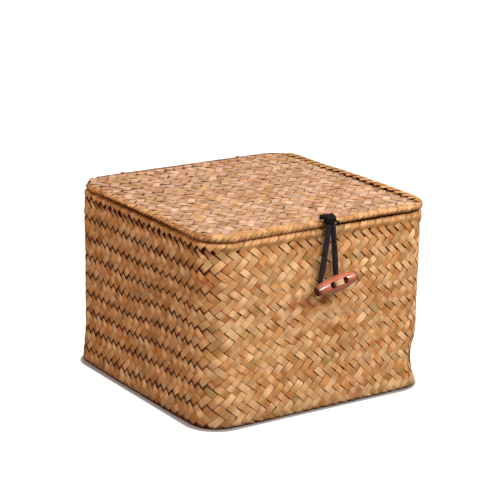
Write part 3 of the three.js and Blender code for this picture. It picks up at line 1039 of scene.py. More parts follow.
@dataclass(frozen=True)
class WoodFinish:
    """Turned wood under clear lacquer: reddish long grain, dark end grain, and painted shade deeper in the
    holes.
    """

    name: str
    light: Colour
    dark: Colour
    end: Colour
    half_length: float
    roughness: float = 0.28

    def material(self) -> Material:
        """Builds the material.

        Returns:
            The material.
        """
        material, sheet, shader = new_material(self.name)
        x, y, z = attribute(sheet, TURNED_PLACE)
        grain = sheet.noise((x * 60.0, y * 900.0, z * 900.0), 1.0, 3.0)
        figure = sheet.noise((x * 90.0, y * 260.0, z * 260.0), 1.0, 2.0)
        tone = (grain * 0.5 + figure * 0.5).eased(0.35, 0.65)
        colour = sheet.mix(tone, self.dark, self.light)
        ring_radius = (y * y + z * z).root()
        rings = sheet.math("SINE", ring_radius * 5200.0) * 0.1 + 0.14
        end_colour = sheet.mix(rings * 0.5, self.end, self.dark)
        on_end = x.size().over(self.half_length)
        colour = sheet.mix(on_end, colour, end_colour)
        # Painted shade: the end-grain colour darkens the wood deeper inside the holes.
        in_hole = 1.0 - ring_radius.eased(3.6 * MM, 4.6 * MM)
        colour = sheet.mix(in_hole * (1.0 - on_end) * 0.85, colour, self.end)
        given = {"Height": grain, "Distance": 0.04 * MM, "Strength": 0.5}
        dressing = {
            "Base Color": colour,
            "Roughness": self.roughness + on_end * 0.35 + (1.0 - tone) * 0.08,
            "Coat Weight": 1.0 - on_end,
            "Coat Roughness": 0.07,
            "Normal": sheet.wire("ShaderNodeBump", "Normal", given),
        }
        sheet.fill(shader, dressing)
        return material


@dataclass(frozen=True)
class Finishes:
    """Every finish of the box, built once."""

    wall: dict[Slant, Material]
    lid: dict[Slant, Material]
    lid_fold: Material
    lining: Material
    lining_back: Material
    base_back: Material
    padding: Material
    fold: Material
    twine: Material
    cord: Material
    shaded_knot_cord: Material
    wood: Material
    stitch: Material
    stitch_leg: Material

    @classmethod
    def build(cls, toggle_half_length: float) -> "Finishes":
        """Builds the shared groups and the materials that use them.

        Args:
            toggle_half_length: Where the toggle's end faces lie on its own axis.

        Returns:
            The finishes.
        """
        effects = Effects(fibre_group(), patch_group())
        edge = paint(84, 32, 8)
        wall = StrawFinish(
            "woven_straw",
            pale=paint(242, 206, 156),
            golden=paint(208, 152, 91),
            rust=paint(172, 78, 42),
            green=paint(174, 146, 90),
            edge=edge,
            patch_length=12.0 * MM,
            foot_shade=0.17,
        )
        # The lid's straw is paler and pinker than the walls': partly its own tone, partly painted sheen, the
        # pale sky reflected at a grazing angle.
        lid = StrawFinish(
            "lid_straw",
            pale=paint(218, 192, 169),
            golden=paint(190, 151, 114),
            rust=paint(194, 124, 88),
            green=paint(196, 166, 104),
            edge=paint(94, 40, 22),
            green_share=0.7,
            patch_length=10.0 * MM,
            edge_share=0.55,
            dimming=0.38,
        )
        lid_fold = replace(
            lid,
            name="lid_fold_straw",
            pale=paint(220, 177, 128),
            golden=paint(196, 145, 90),
            edge=paint(150, 98, 56),
            half_strip=4.0 * MM,
            edge_share=0.25,
            dive_shade_share=0.0,
            patch_length=9.0 * MM,
        )
        lining = StrawFinish(
            "lining_straw",
            pale=paint(226, 188, 134),
            golden=paint(200, 150, 94),
            rust=paint(168, 96, 52),
            green=paint(170, 146, 96),
            edge=edge,
            rust_share=0.4,
        )
        # Painted shade: the padding inside the lid's border is coloured as shaded straw, so that it reads
        # dark in the gaps between the border strips.
        padding_straw = replace(
            lining,
            name="padding_straw",
            pale=paint(120, 74, 40),
            golden=paint(92, 54, 28),
            rust=paint(70, 36, 18),
            dive_shade=paint(20, 8, 4),
        )
        fold = StrawFinish(
            "folded_straw",
            pale=paint(232, 188, 134),
            golden=paint(206, 154, 94),
            rust=paint(180, 104, 56),
            green=paint(178, 148, 90),
            edge=paint(84, 38, 16),
            rust_share=0.45,
            patch_length=10.0 * MM,
            half_strip=3.1 * MM,
            dive_shade_share=0.0,
        )
        twine = StrawFinish(
            "hinge_twine",
            pale=paint(214, 180, 130),
            golden=paint(190, 150, 98),
            rust=paint(160, 112, 66),
            green=paint(170, 148, 100),
            edge=edge,
            half_strip=1.0,
            patch_length=6.0 * MM,
            roughness=0.7,
            dive_shade_share=0.0,
        )
        stitch = StrawFinish(
            "stitch_straw",
            pale=paint(226, 202, 160),
            golden=paint(206, 176, 134),
            rust=paint(196, 156, 116),
            green=paint(196, 178, 128),
            edge=paint(150, 116, 82),
            half_strip=2.0 * MM,
            edge_share=0.4,
            dive_shade_share=0.0,
        )
        # Painted shade: a darker copy of the stitch straw for its legs, which lie in the shade inside the
        # toggle's holes.
        stitch_leg = replace(
            stitch,
            name="shaded_stitch_leg_straw",
            pale=paint(84, 50, 32),
            golden=paint(66, 38, 24),
            rust=paint(58, 30, 20),
            green=paint(70, 48, 28),
            edge=paint(40, 22, 14),
        )
        # The cord's paler streak colour is partly a painted bluish highlight.
        cord = CordFinish("black_cord", black=paint(3, 4, 7), pale_streak=paint(52, 57, 68))
        # Painted shade: the knot has a darker copy of the cord, as its upper turns catch more light than the
        # cord below.
        shaded_knot_cord = CordFinish("shaded_knot_cord", black=paint(3, 4, 7), pale_streak=paint(14, 17, 25), shine=0.2, fuzz=0.0)
        wood = WoodFinish(
            "toggle_wood",
            light=paint(192, 118, 90),
            dark=paint(152, 80, 56),
            end=paint(52, 18, 10),
            half_length=toggle_half_length,
        )
        plain = {
            "lid_fold": lid_fold,
            "lining": lining,
            "lining_back": replace(lining, name="lining_straw_back", seen_side=-1.0),
            "base_back": replace(wall, name="base_straw_back", seen_side=-1.0),
            "padding": padding_straw,
            "fold": fold,
            "twine": twine,
            "cord": cord,
            "shaded_knot_cord": shaded_knot_cord,
            "stitch": stitch,
            "stitch_leg": stitch_leg,
        }
        return cls(
            wall=wall.family(effects),
            lid=lid.family(effects),
            wood=wood.material(),
            **{name: finish.material(effects) for name, finish in plain.items()},
        )


@dataclass(frozen=True)
class StudioCamera:
    """A camera on a long lens, level with the box's front left corner and a little above it."""

    place: Place = (-783.867 * MM, -1169.727 * MM, 515.144 * MM)
    azimuth: float = -33.85
    elevation: float = 16.45
    roll: float = 0.98
    lens: float = 135.28
    film: float = 36.0

    def build(self) -> None:
        """Makes the camera and gives it to the scene."""
        turn, lift, roll = (math.radians(a) for a in (self.azimuth, self.elevation, self.roll))
        back = Vector((math.sin(turn) * math.cos(lift), -math.cos(turn) * math.cos(lift), math.sin(lift)))
        level = Vector((math.cos(turn), math.sin(turn), 0.0))
        upright = back.cross(level)
        right = level * math.cos(roll) + upright * math.sin(roll)
        up = back.cross(right)
        data = bpy.data.cameras.new("studio_camera")
        data.lens = self.lens
        data.sensor_width = self.film
        camera = placed("studio_camera", data)
        axes = Matrix((right, up, back)).transposed().to_4x4()
        camera.matrix_world = Matrix.Translation(self.place) @ axes
        bpy.context.scene.camera = camera


Bar = tuple[np.ndarray, list[tuple[int, ...]], np.ndarray]
Relief = Callable[[np.ndarray, np.ndarray], np.ndarray]


def smooth_path(points: Sequence[Sequence[float]], step: float, closed: bool = False) -> np.ndarray:
    """Draws a smooth line through points and spaces it evenly.

    Args:
        points: The points, in metres.
        step: The spacing wanted.
        closed: Whether the line runs back to its start.

    Returns:
        The line's points.
    """
    given = np.array(points, float)
    if closed:
        padded = np.vstack([given[-1:], given, given[:2]])
    else:
        padded = np.vstack([2 * given[0] - given[1], given, 2 * given[-1] - given[-2]])
    share = np.linspace(0, 1, 24, endpoint=False)[:, None]
    pieces = []
    for a, b, c, d in zip(padded, padded[1:], padded[2:], padded[3:]):
        bend = (2 * a - 5 * b + 4 * c - d) * share**2 + (3 * b - a - 3 * c + d) * share**3
        pieces.append(0.5 * (2 * b + (c - a) * share + bend))
    line = np.vstack([*pieces, padded[-2:-1]])
    lengths = np.concatenate([[0], np.cumsum(np.linalg.norm(np.diff(line, axis=0), axis=1))])
    count = max(4, round(lengths[-1] / step))
    wanted = np.linspace(0, lengths[-1], count + 1)
    spaced = np.stack([np.interp(wanted, lengths, line[:, k]) for k in range(3)], axis=1)
    return spaced[:-1] if closed else spaced


@dataclass
class Tube:
    """A round or flattened bar that follows a line.

    Fields: path is the line, radius its half thickness, sides the points round it, step the spacing
    along it, closed joins its ends, flat is its width over its thickness, facing the way its flat side
    looks, taper gives the radius share along it, and relief the share that the surface stands proud.
    """

    path: Sequence[Sequence[float]]
    radius: float
    sides: int = 16
    step: float = 0.6 * MM
    closed: bool = False
    flat: float = 1.0
    facing: Place = (0.0, 0.0, 1.0)
    taper: Callable[[np.ndarray], np.ndarray] | None = None
    relief: Relief | None = None

    def frames(self, line: np.ndarray) -> tuple[np.ndarray, np.ndarray]:
        """Gives each point of the line two axes across it that don't twist.

        Args:
            line: The line's points.

        Returns:
            The first and second axis at each point.
        """
        if self.closed:
            tangent = np.roll(line, -1, axis=0) - np.roll(line, 1, axis=0)
        else:
            tangent = np.gradient(line, axis=0)
        tangent /= np.linalg.norm(tangent, axis=1)[:, None]
        first = np.zeros_like(line)
        axis = np.array(self.facing, float)
        for k, direction in enumerate(tangent):
            axis = axis - direction * (axis @ direction)
            axis = axis / np.linalg.norm(axis)
            first[k] = axis
        return first, np.cross(tangent, first)

    def build(self, number: float = 0.0) -> Bar:
        """Makes the bar's points and faces.

        Args:
            number: A number that tells this bar's pattern from its neighbours'.

        Returns:
            The points, the faces, and each point's place round, along and number.
        """
        line = smooth_path(self.path, self.step, self.closed)
        first, second = self.frames(line)
        rings = len(line)
        angle = np.arange(self.sides) * 2 * math.pi / self.sides
        share = np.linspace(0, 1, rings)
        radius = self.radius * (np.ones(rings) if self.taper is None else self.taper(share))
        along = np.arange(rings) * np.linalg.norm(line[1] - line[0])
        grow = np.ones((rings, self.sides))
        if self.relief is not None:
            grow = 1.0 + self.relief(angle[None, :], along[:, None])
        across = (np.cos(angle) * self.flat)[None, :, None] * second[:, None, :]
        through = np.sin(angle)[None, :, None] * first[:, None, :]
        points = line[:, None, :] + (across + through) * (radius[:, None] * grow)[:, :, None]
        faces = []
        for ring in range(rings if self.closed else rings - 1):
            here, there = ring * self.sides, (ring + 1) % rings * self.sides
            for side in range(self.sides):
                beside = (side + 1) % self.sides
                faces.append((here + side, there + side, there + beside, here + beside))
        if not self.closed:
            faces.append(tuple(range(self.sides)))
            faces.append(tuple(reversed([(rings - 1) * self.sides + s for s in range(self.sides)])))
        place = np.stack(
            [
                np.broadcast_to(angle[None, :] * self.radius, grow.shape),
                np.broadcast_to(along[:, None], grow.shape),
                np.full(grow.shape, number),
            ],
            axis=2,
        )
        return points.reshape(-1, 3), faces, place.reshape(-1, 3)


def joined(name: str, bars: Sequence[Bar], place_name: str) -> Object:
    """Makes one object of several closed bars.

    Args:
        name: The object's name.
        bars: Each bar's points, faces and places.
        place_name: The attribute that holds the places.

    Returns:
        The object, at the origin, with its faces pointing out.
    """
    points, faces, places, first = [], [], [], 0
    for bar_points, bar_faces, bar_places in bars:
        points.append(bar_points)
        places.append(bar_places)
        faces.extend(tuple(first + i for i in face) for face in bar_faces)
        first += len(bar_points)
    mesh = bpy.data.meshes.new(name)
    mesh.from_pydata(np.vstack(points).tolist(), [], faces)
    stored = mesh.attributes.new(place_name, "FLOAT_VECTOR", "POINT")
    stored.data.foreach_set("vector", np.vstack(places).astype(np.float32).ravel())
    mesh.shade_smooth()
    mesh.update()
    return placed(name, mesh)


def braid(strands: int, radius: float, depth: float, lay: float) -> Relief:
    """The relief of a round braid.

    Args:
        strands: How many strands turn each way.
        radius: The cord's radius.
        depth: The relief as a share of the radius.
        lay: The length of one full turn, in radii.

    Returns:
        A function of the angle and the length along the cord.
    """

    def relief(angle: np.ndarray, along: np.ndarray) -> np.ndarray:
        """The share that the surface stands proud there."""
        turn = along * 2 * math.pi / (lay * radius)
        one = np.cos(strands * angle + turn * strands / 2)
        other = np.cos(strands * angle - turn * strands / 2)
        return depth * (np.maximum(one, other) - 0.5)

    return relief


@dataclass
class CordLoop:
    """The black loop that hangs from the knot, goes behind the toggle and comes back up."""

    finishes: Finishes
    route: tuple[Place, ...] = (
        (-1.1, -105.2, 145.6),
        (-1.2, -104.9, 141.0),
        (-1.5, -104.1, 133.0),
        (-2.1, -103.3, 125.0),
        (-3.1, -102.6, 114.0),
        (-4.4, -102.1, 106.0),
        (-5.0, -102.0, 101.3),
        (-4.0, -102.0, 97.6),
        (-1.4, -102.0, 94.9),
        (2.3, -102.0, 93.9),
        (6.0, -102.0, 94.9),
        (8.6, -102.0, 97.6),
        (9.6, -102.0, 101.3),
        (8.9, -102.1, 106.0),
        (7.9, -102.6, 114.0),
        (6.4, -103.3, 125.0),
        (4.9, -104.1, 133.0),
        (3.5, -104.9, 141.0),
        (3.0, -105.2, 145.3),
    )
    length: float = 113.0 * MM
    diameter: float = 3.6 * MM
    sides: int = 24
    step: float = 0.32 * MM
    bend_level: float = 101.0 * MM
    widest_level: float = 110.0 * MM
    top_level: float = 146.0 * MM
    spread: float = 0.3
    top_spread: float = 0.06
    left_extra: float = 0.12
    braid_strands: int = 6
    braid_depth: float = 0.045
    braid_lay: float = 5.0

    def build(self) -> None:
        """Makes the loop and says what cord it is."""
        path = [tuple(value * MM for value in point) for point in self.route]
        radius = self.diameter / 2
        weave = braid(self.braid_strands, radius, self.braid_depth, self.braid_lay)
        line = smooth_path(path, self.step)
        down = (self.top_level - line[:, 2]) / (self.top_level - self.widest_level)
        past = np.clip((line[:, 2] - self.bend_level) / (self.widest_level - self.bend_level), 0.0, 1.0)
        wide = (self.top_spread + (self.spread - self.top_spread) * np.clip(down, 0.0, 1.0)) * past
        wide[: len(line) // 2] += self.left_extra * past[: len(line) // 2]

        def pattern(angle: np.ndarray, along: np.ndarray) -> np.ndarray:
            """The braid's relief, and the share that the cord is flattened wider by there."""
            return weave(angle, along) + wide[:, None] * np.cos(angle) ** 2

        bar = Tube(path, radius, self.sides, self.step, facing=(0.0, 1.0, 0.0), relief=pattern)
        loop = joined("braided_loop", [bar.build()], CORD_PLACE)
        settle(loop, "loop", "black_cord", "cord_loop", material=self.finishes.cord)


def inputs_from(sizes: object, names: str) -> dict[str, object]:
    """Tree inputs from the fields of the same names, as Edge Drop is from edge_drop."""
    return {name: getattr(sizes, name.lower().replace(" ", "_")) for name in names.split(", ")}


@dataclass
class Plaiting:
    """How strips are cut and laid: slope, strip, and how uneven the hand work is."""

    slope: float = math.radians(41.7)
    rising_share: float = 1.0
    falling_share: float = 0.93
    pinch: float = 0.42
    strip_thickness: float = 0.6 * MM
    lift: float = 0.5 * MM
    uneven_width: float = 0.1
    uneven_height: float = 0.2 * MM
    twist: float = 0.3 * MM
    wander: float = 0.4 * MM
    steps_per_crossing: float = 3.4

    def strip_width(self, pitch: float, slant: Slant) -> float:
        """The width of a strip of one family at this pitch."""
        return pitch * (self.rising_share if slant is Slant.RISING else self.falling_share)

    def sizes(self) -> dict[str, float]:
        """The tree inputs that the plaiting sets."""
        return inputs_from(self, "Strip Thickness, Lift, Uneven Width, Uneven Height, Twist, Wander")


@dataclass(frozen=True)
class Frame:
    """A square ring in plan: its half width and the radii of its corners."""

    half: float
    corner: float
    left_corner: float
    right_corner: float

    def sizes(self, inset: float = 0.0) -> dict[str, float]:
        """The tree inputs of this plan, for a line that runs inside its outer face by an inset."""
        return {
            "Width": 2 * (self.half - inset),
            "Corner Radius": self.corner - inset,
            "Left Corner": self.left_corner - inset,
            "Right Corner": self.right_corner - inset,
        }

    def pitch(self, inset: float, strips: int, slope: float) -> float:
        """The distance between two strips that slant round the ring, square across them.

        Args:
            inset: How far inside the ring's outer face they run.
            strips: How many strips there are.
            slope: Their slope.

        Returns:
            The pitch.
        """
        radii = 2 * self.corner + self.left_corner + self.right_corner - 4 * inset
        around = 8 * (self.half - inset) - 2 * radii + math.pi / 2 * radii
        return around / strips * math.sin(slope)


@dataclass(frozen=True)
class Padding:
    """A bundle of straws inside a folded border.

    Fields: inset is how far inside the border's plan it runs, level its height above the ground, and
    strands how many straws lie side by side.
    """

    name: str
    inset: float
    level: float
    padding_width: float
    padding_height: float
    strands: int
    segments: int = 240

    def grow(self, tree: NodeTree, ring: Frame, material: Material) -> Object:
        """Lays the bundle round.

        Args:
            tree: The padding tree.
            ring: The border's plan.
            material: The straws' material.

        Returns:
            The piece.
        """
        sizes = {
            **ring.sizes(),
            **inputs_from(self, "Segments, Inset, Level, Padding Width, Padding Height, Strands"),
            "Material": material,
        }
        return grown(self.name, tree, sizes)


@dataclass(frozen=True)
class Panel:
    """A flat plaited square.

    Fields: half is half its width, level the height of its middle, shift how far it lies to the right and
    back, steps how finely a strip bends at each crossing, edge_drop and edge_roll how its edge bends down,
    and back_reach and right_reach how far it is drawn out on those sides.
    """

    half: float
    corner: float
    level: float
    seed: int
    pitch: float = 6.2 * MM
    shift: float = 0.0
    steps: float = 2.0
    edge_drop: float = 0.0
    edge_roll: float = 5.0 * MM
    back_reach: float = 0.0
    right_reach: float = 0.0
    ripple: float = 0.25 * MM

    def grow(self, name: str, tree: NodeTree, plait: Plaiting, slant: Slant, material: Material) -> Object:
        """Lays one family of strips.

        Args:
            name: The piece's name.
            tree: The panel tree.
            plait: How the strips are cut and laid.
            slant: Which family.
            material: The strips' material.

        Returns:
            The piece.
        """
        strips = 2 * ((self.half - self.corner) * math.sqrt(2) + self.corner) / self.pitch
        sizes = {
            **plait.sizes(),
            "Strips": int(strips),
            "Segments": round(strips * self.steps),
            "Half Width": self.half,
            "Corner Radius": self.corner,
            "Centre": (self.shift, self.shift, self.level),
            "Slant": float(slant.value),
            "Strip Width": plait.strip_width(self.pitch, slant),
            **inputs_from(self, "Pitch, Edge Drop, Edge Roll, Back Reach, Right Reach, Ripple"),
            "Seed": self.seed + slant.value,
            "Material": material,
        }
        return grown(name, tree, sizes)


WALL_SHAPE = (
    "Waist, Neck, Right Dent, Sway, Crowding, Row Lift, Row Stretch, Foot Bow, Corner Flare, Foot Flare"
)
LID_EDGE_SHAPE = (
    "Warp, Near Trim, Near Overlap, Back Trim, Back Sink, Left Sink, Right Bow, Right Lean, Right Width"
)


@dataclass
class Body:
    """The plaited walls and base, with the folded rim."""

    finishes: Finishes
    plait: Plaiting
    band: NodeTree
    panel: NodeTree
    padding: NodeTree
    strips: int = 92
    walls: Frame = Frame(99.2 * MM, 22.0 * MM, 17.5 * MM, 18.0 * MM)
    fold_radius: float = 1.7 * MM
    fold_reach: float = 7.0 * MM
    wall_low: float = 1.1 * MM
    wall_high: float = 138.6 * MM
    waist: float = 0.5 * MM
    neck: float = 0.6 * MM
    right_dent: float = 4.3 * MM
    sway: float = 4.0 * MM
    crowding: float = 5.5 * MM
    row_lift: float = 5.0 * MM
    row_stretch: float = 0.055
    foot_bow: float = 2.4 * MM
    corner_flare: float = 0.8 * MM
    foot_flare: float = 0.6 * MM
    ripple: float = 0.45 * MM
    lining: Frame = Frame(95.9 * MM, 18.9 * MM, 15.0 * MM, 15.0 * MM)
    lining_low: float = 5.2 * MM
    lining_strips: int = 80
    section_width: float = 40.0 * MM
    rim_ring: Frame = Frame(100.2 * MM, 23.0 * MM, 22.0 * MM, 20.0 * MM)
    rim_low: float = 131.6 * MM
    rim_high: float = 141.5 * MM
    rim_thickness: float = 7.1 * MM
    rim_strip_thickness: float = 0.9 * MM
    rim_strips: int = 104
    rim_strip_share: float = 1.12
    rim_slope: float = math.radians(45.0)
    rim_fold_radius: float = 2.4 * MM
    rim_tooth_rise: float = 0.6 * MM
    rim_inner_reach: float = 5.0 * MM
    rim_shingle: float = 0.22 * MM
    rim_tuck: float = 1.7 * MM
    rim_pairing: float = 0.14
    rim_left_cut: float = 5.2 * MM
    rim_front_cut: float = 1.5 * MM
    rim_segments: int = 26
    rim_filling: Padding = Padding("rim_padding_straws", rim_thickness / 2, 139.4 * MM, 4.6 * MM, 1.9 * MM, 2)
    base_half: float = 93.5 * MM
    base_corner: float = walls.corner - (walls.half - base_half)
    base_panels: tuple[Panel, Panel] = (
        Panel(base_half, base_corner, 1.3 * MM, 50),
        Panel(base_half, base_corner, 3.8 * MM, 60),
    )

    def wall(self, slant: Slant, inside: bool) -> None:
        """Makes one family of strips of the outer or the inner wall.

        Args:
            slant: Which family.
            inside: Whether it is the inner wall.
        """
        plait = self.plait
        ring = self.lining if inside else self.walls
        inset = plait.lift + plait.strip_thickness / 2
        low = self.lining_low if inside else self.wall_low
        height = self.wall_high - low
        strips = self.lining_strips if inside else self.strips
        pitch = ring.pitch(inset, strips, plait.slope)
        run_start = -(height - 2 * self.fold_radius) - math.pi / 2 * self.fold_radius - self.fold_reach
        crossings = -run_start * 2 * math.cos(plait.slope) / pitch
        steps = plait.steps_per_crossing - (1.0 if inside else 0.0)
        shape = {"Ripple": self.ripple}
        if not inside:
            shape |= {"Comb": 1.0, "End Shade": 1.0} | inputs_from(self, WALL_SHAPE)
        side = "inner" if inside else "outer"
        sizes = {
            **PLAIN_BAND,
            **plait.sizes(),
            **ring.sizes(inset),
            **shape,
            "Strips": strips,
            "Segments": round(crossings * steps),
            "Section Width": self.section_width,
            "Section Height": height,
            "Section Radius": self.fold_radius,
            "Base Height": low,
            "Run Start": run_start,
            "Run End": -self.fold_radius,
            "Slope": plait.slope,
            "Slant": float(slant.value),
            "Strip Width": plait.strip_width(pitch, slant),
            "Pinch": plait.pinch if slant is Slant.FALLING else 0.0,
            "Seed": 11 + slant.value + (30 if inside else 0),
            "Material": self.finishes.lining_back if inside else self.finishes.wall[slant],
        }
        piece = grown(side + "_wall_" + slant.name.lower() + "_strips", self.band, sizes)
        settle(piece, "root", "lining_straw" if inside else "woven_straw", "wall_" + side)

    def base(self, slant: Slant, inside: bool) -> None:
        """Makes one family of strips of the outer or the inner base.

        Args:
            slant: Which family.
            inside: Whether it is the inner base.
        """
        side = "inner" if inside else "outer"
        name = side + "_base_" + slant.name.lower() + "_strips"
        material = self.finishes.lining if inside else self.finishes.base_back
        piece = self.base_panels[inside].grow(name, self.panel, self.plait, slant, material)
        settle(piece, "root", "lining_straw" if inside else "woven_straw", "base_" + side)

    def rim(self) -> None:
        """Makes the strips folded over the top of the walls, overlapping like shingles."""
        inset = self.rim_strip_thickness / 2
        height = self.rim_high - self.rim_low - inset
        width = self.rim_thickness - 2 * inset
        radius = self.rim_fold_radius
        pitch = self.rim_ring.pitch(inset, self.rim_strips, self.rim_slope)
        sizes = {
            **PLAIN_BAND,
            **self.rim_ring.sizes(inset),
            "Strips": self.rim_strips,
            "Segments": self.rim_segments,
            "Section Width": width,
            "Section Height": height,
            "Section Radius": radius,
            "Base Height": self.rim_low,
            "Run Start": -(height - 2 * radius) - radius + self.rim_tooth_rise,
            "Run End": math.pi * radius + (width - 2 * radius) + self.rim_inner_reach,
            "Slope": self.rim_slope,
            "Slant": float(Slant.RISING.value),
            "Strip Width": pitch * self.rim_strip_share,
            "Strip Thickness": self.rim_strip_thickness,
            "Shingle": self.rim_shingle,
            "Uneven Width": 0.12,
            "Uneven Height": 0.14 * MM,
            "Wander": 0.45 * MM,
            "Ripple": 0.25 * MM,
            "Pairing": self.rim_pairing,
            "Left Cut": self.rim_left_cut,
            "Front Cut": self.rim_front_cut,
            "Front Tuck": self.rim_tuck,
            "Seed": 71,
            "Material": self.finishes.fold,
        }
        piece = grown("folded_rim_strips", self.band, sizes)
        settle(piece, "root", "folded_straw", "body_rim")

    def rim_padding(self) -> None:
        """Makes the straws that fill the rim's fold above the walls."""
        piece = self.rim_filling.grow(self.padding, self.rim_ring, self.finishes.lining)
        settle(piece, "root", "lining_straw", "body_rim")

    def build(self) -> None:
        """Makes the walls, the bases and the rim."""
        for inside in (False, True):
            for slant in Slant:
                self.wall(slant, inside)
                self.base(slant, inside)
        self.rim()
        self.rim_padding()


@dataclass
class Lid:
    """The flat lid: a plaited top and underside in a border of folded strips."""

    finishes: Finishes
    plait: Plaiting
    band: NodeTree
    panel: NodeTree
    padding: NodeTree
    ring: Frame = Frame(101.0 * MM, 24.0 * MM, 29.5 * MM, 21.5 * MM)
    low: float = 142.0 * MM
    high: float = 148.0 * MM
    border_width: float = 12.0 * MM
    border_fold: float = 2.4 * MM
    border_strip: float = 0.55 * MM
    border_strips: int = 84
    border_slope: float = math.radians(45.0)
    border_strip_share: float = 1.06
    near_overlap: float = 0.14
    near_trim: float = 6.4 * MM
    border_shingle: float = 0.1 * MM
    right_lean: float = 0.36
    right_width: float = 0.6
    warp: float = 1.7 * MM
    back_trim: float = 8.6 * MM
    back_sink: float = 1.5 * MM
    left_sink: float = 0.8 * MM
    right_bow: float = 1.3 * MM
    layers: tuple[Panel, Panel] = (
        Panel(
            96.0 * MM,
            19.5 * MM,
            146.7 * MM,
            91,
            shift=-2.0 * MM,
            steps=Plaiting.steps_per_crossing,
            edge_drop=0.7 * MM,
            back_reach=5.2 * MM,
            right_reach=0.9 * MM,
        ),
        Panel(92.5 * MM, 19.5 * MM, 143.4 * MM, 101),
    )
    fillings: tuple[Padding, ...] = (
        Padding("lid_padding_straws", 6.4 * MM, 144.4 * MM, 9.0 * MM, 2.6 * MM, 4),
        Padding("lid_edge_straw", 2.6 * MM, 145.0 * MM, 3.0 * MM, 4.0 * MM, 1),
    )

    def border(self) -> None:
        """Makes the border's strips, which wrap the edge from the underside to the top."""
        inset = self.border_strip / 2
        height = self.high - self.low - 2 * inset
        width = self.border_width - inset
        radius = self.border_fold
        bend = math.pi / 2 * radius
        pitch = self.ring.pitch(inset, self.border_strips, self.border_slope)
        sizes = {
            **PLAIN_BAND,
            **self.ring.sizes(inset),
            "Strips": self.border_strips,
            "Segments": 34,
            "Section Width": width,
            "Section Height": height,
            "Section Radius": radius,
            "Base Height": self.low + inset,
            "Run Start": -(height - 2 * radius) - bend - (width - 2 * radius),
            "Run End": bend + (width - 2 * radius),
            "Slope": self.border_slope,
            "Slant": float(Slant.RISING.value),
            "Strip Width": pitch * self.border_strip_share,
            "Strip Thickness": self.border_strip,
            "Shingle": self.border_shingle,
            "Uneven Width": 0.08,
            "Uneven Height": 0.12 * MM,
            "Wander": 0.4 * MM,
            "Ripple": 0.3 * MM,
            **inputs_from(self, LID_EDGE_SHAPE),
            "Seed": 83,
            "Material": self.finishes.lid_fold,
        }
        piece = grown("lid_border_strips", self.band, sizes)
        settle(piece, "lid", "lid_straw", "lid_border")

    def border_padding(self) -> None:
        """Makes the straws inside the border."""
        for filling in self.fillings:
            piece = filling.grow(self.padding, self.ring, self.finishes.padding)
            settle(piece, "lid", "lid_straw", "lid_border")

    def layer(self, slant: Slant, under: bool) -> None:
        """Makes one family of strips of the lid's top or underside.

        Args:
            slant: Which family.
            under: Whether it is the underside.
        """
        side = "under" if under else "top"
        name = "lid_" + side + "_" + slant.name.lower() + "_strips"
        material = self.finishes.lining_back if under else self.finishes.lid[slant]
        piece = self.layers[under].grow(name, self.panel, self.plait, slant, material)
        settle(piece, "lid", "lining_straw" if under else "lid_straw", "lid_" + side + "_panel")

    def build(self) -> None:
        """Makes the border, its padding and both layers."""
        self.border()
        self.border_padding()
        for under in (False, True):
            for slant in Slant:
                self.layer(slant, under)


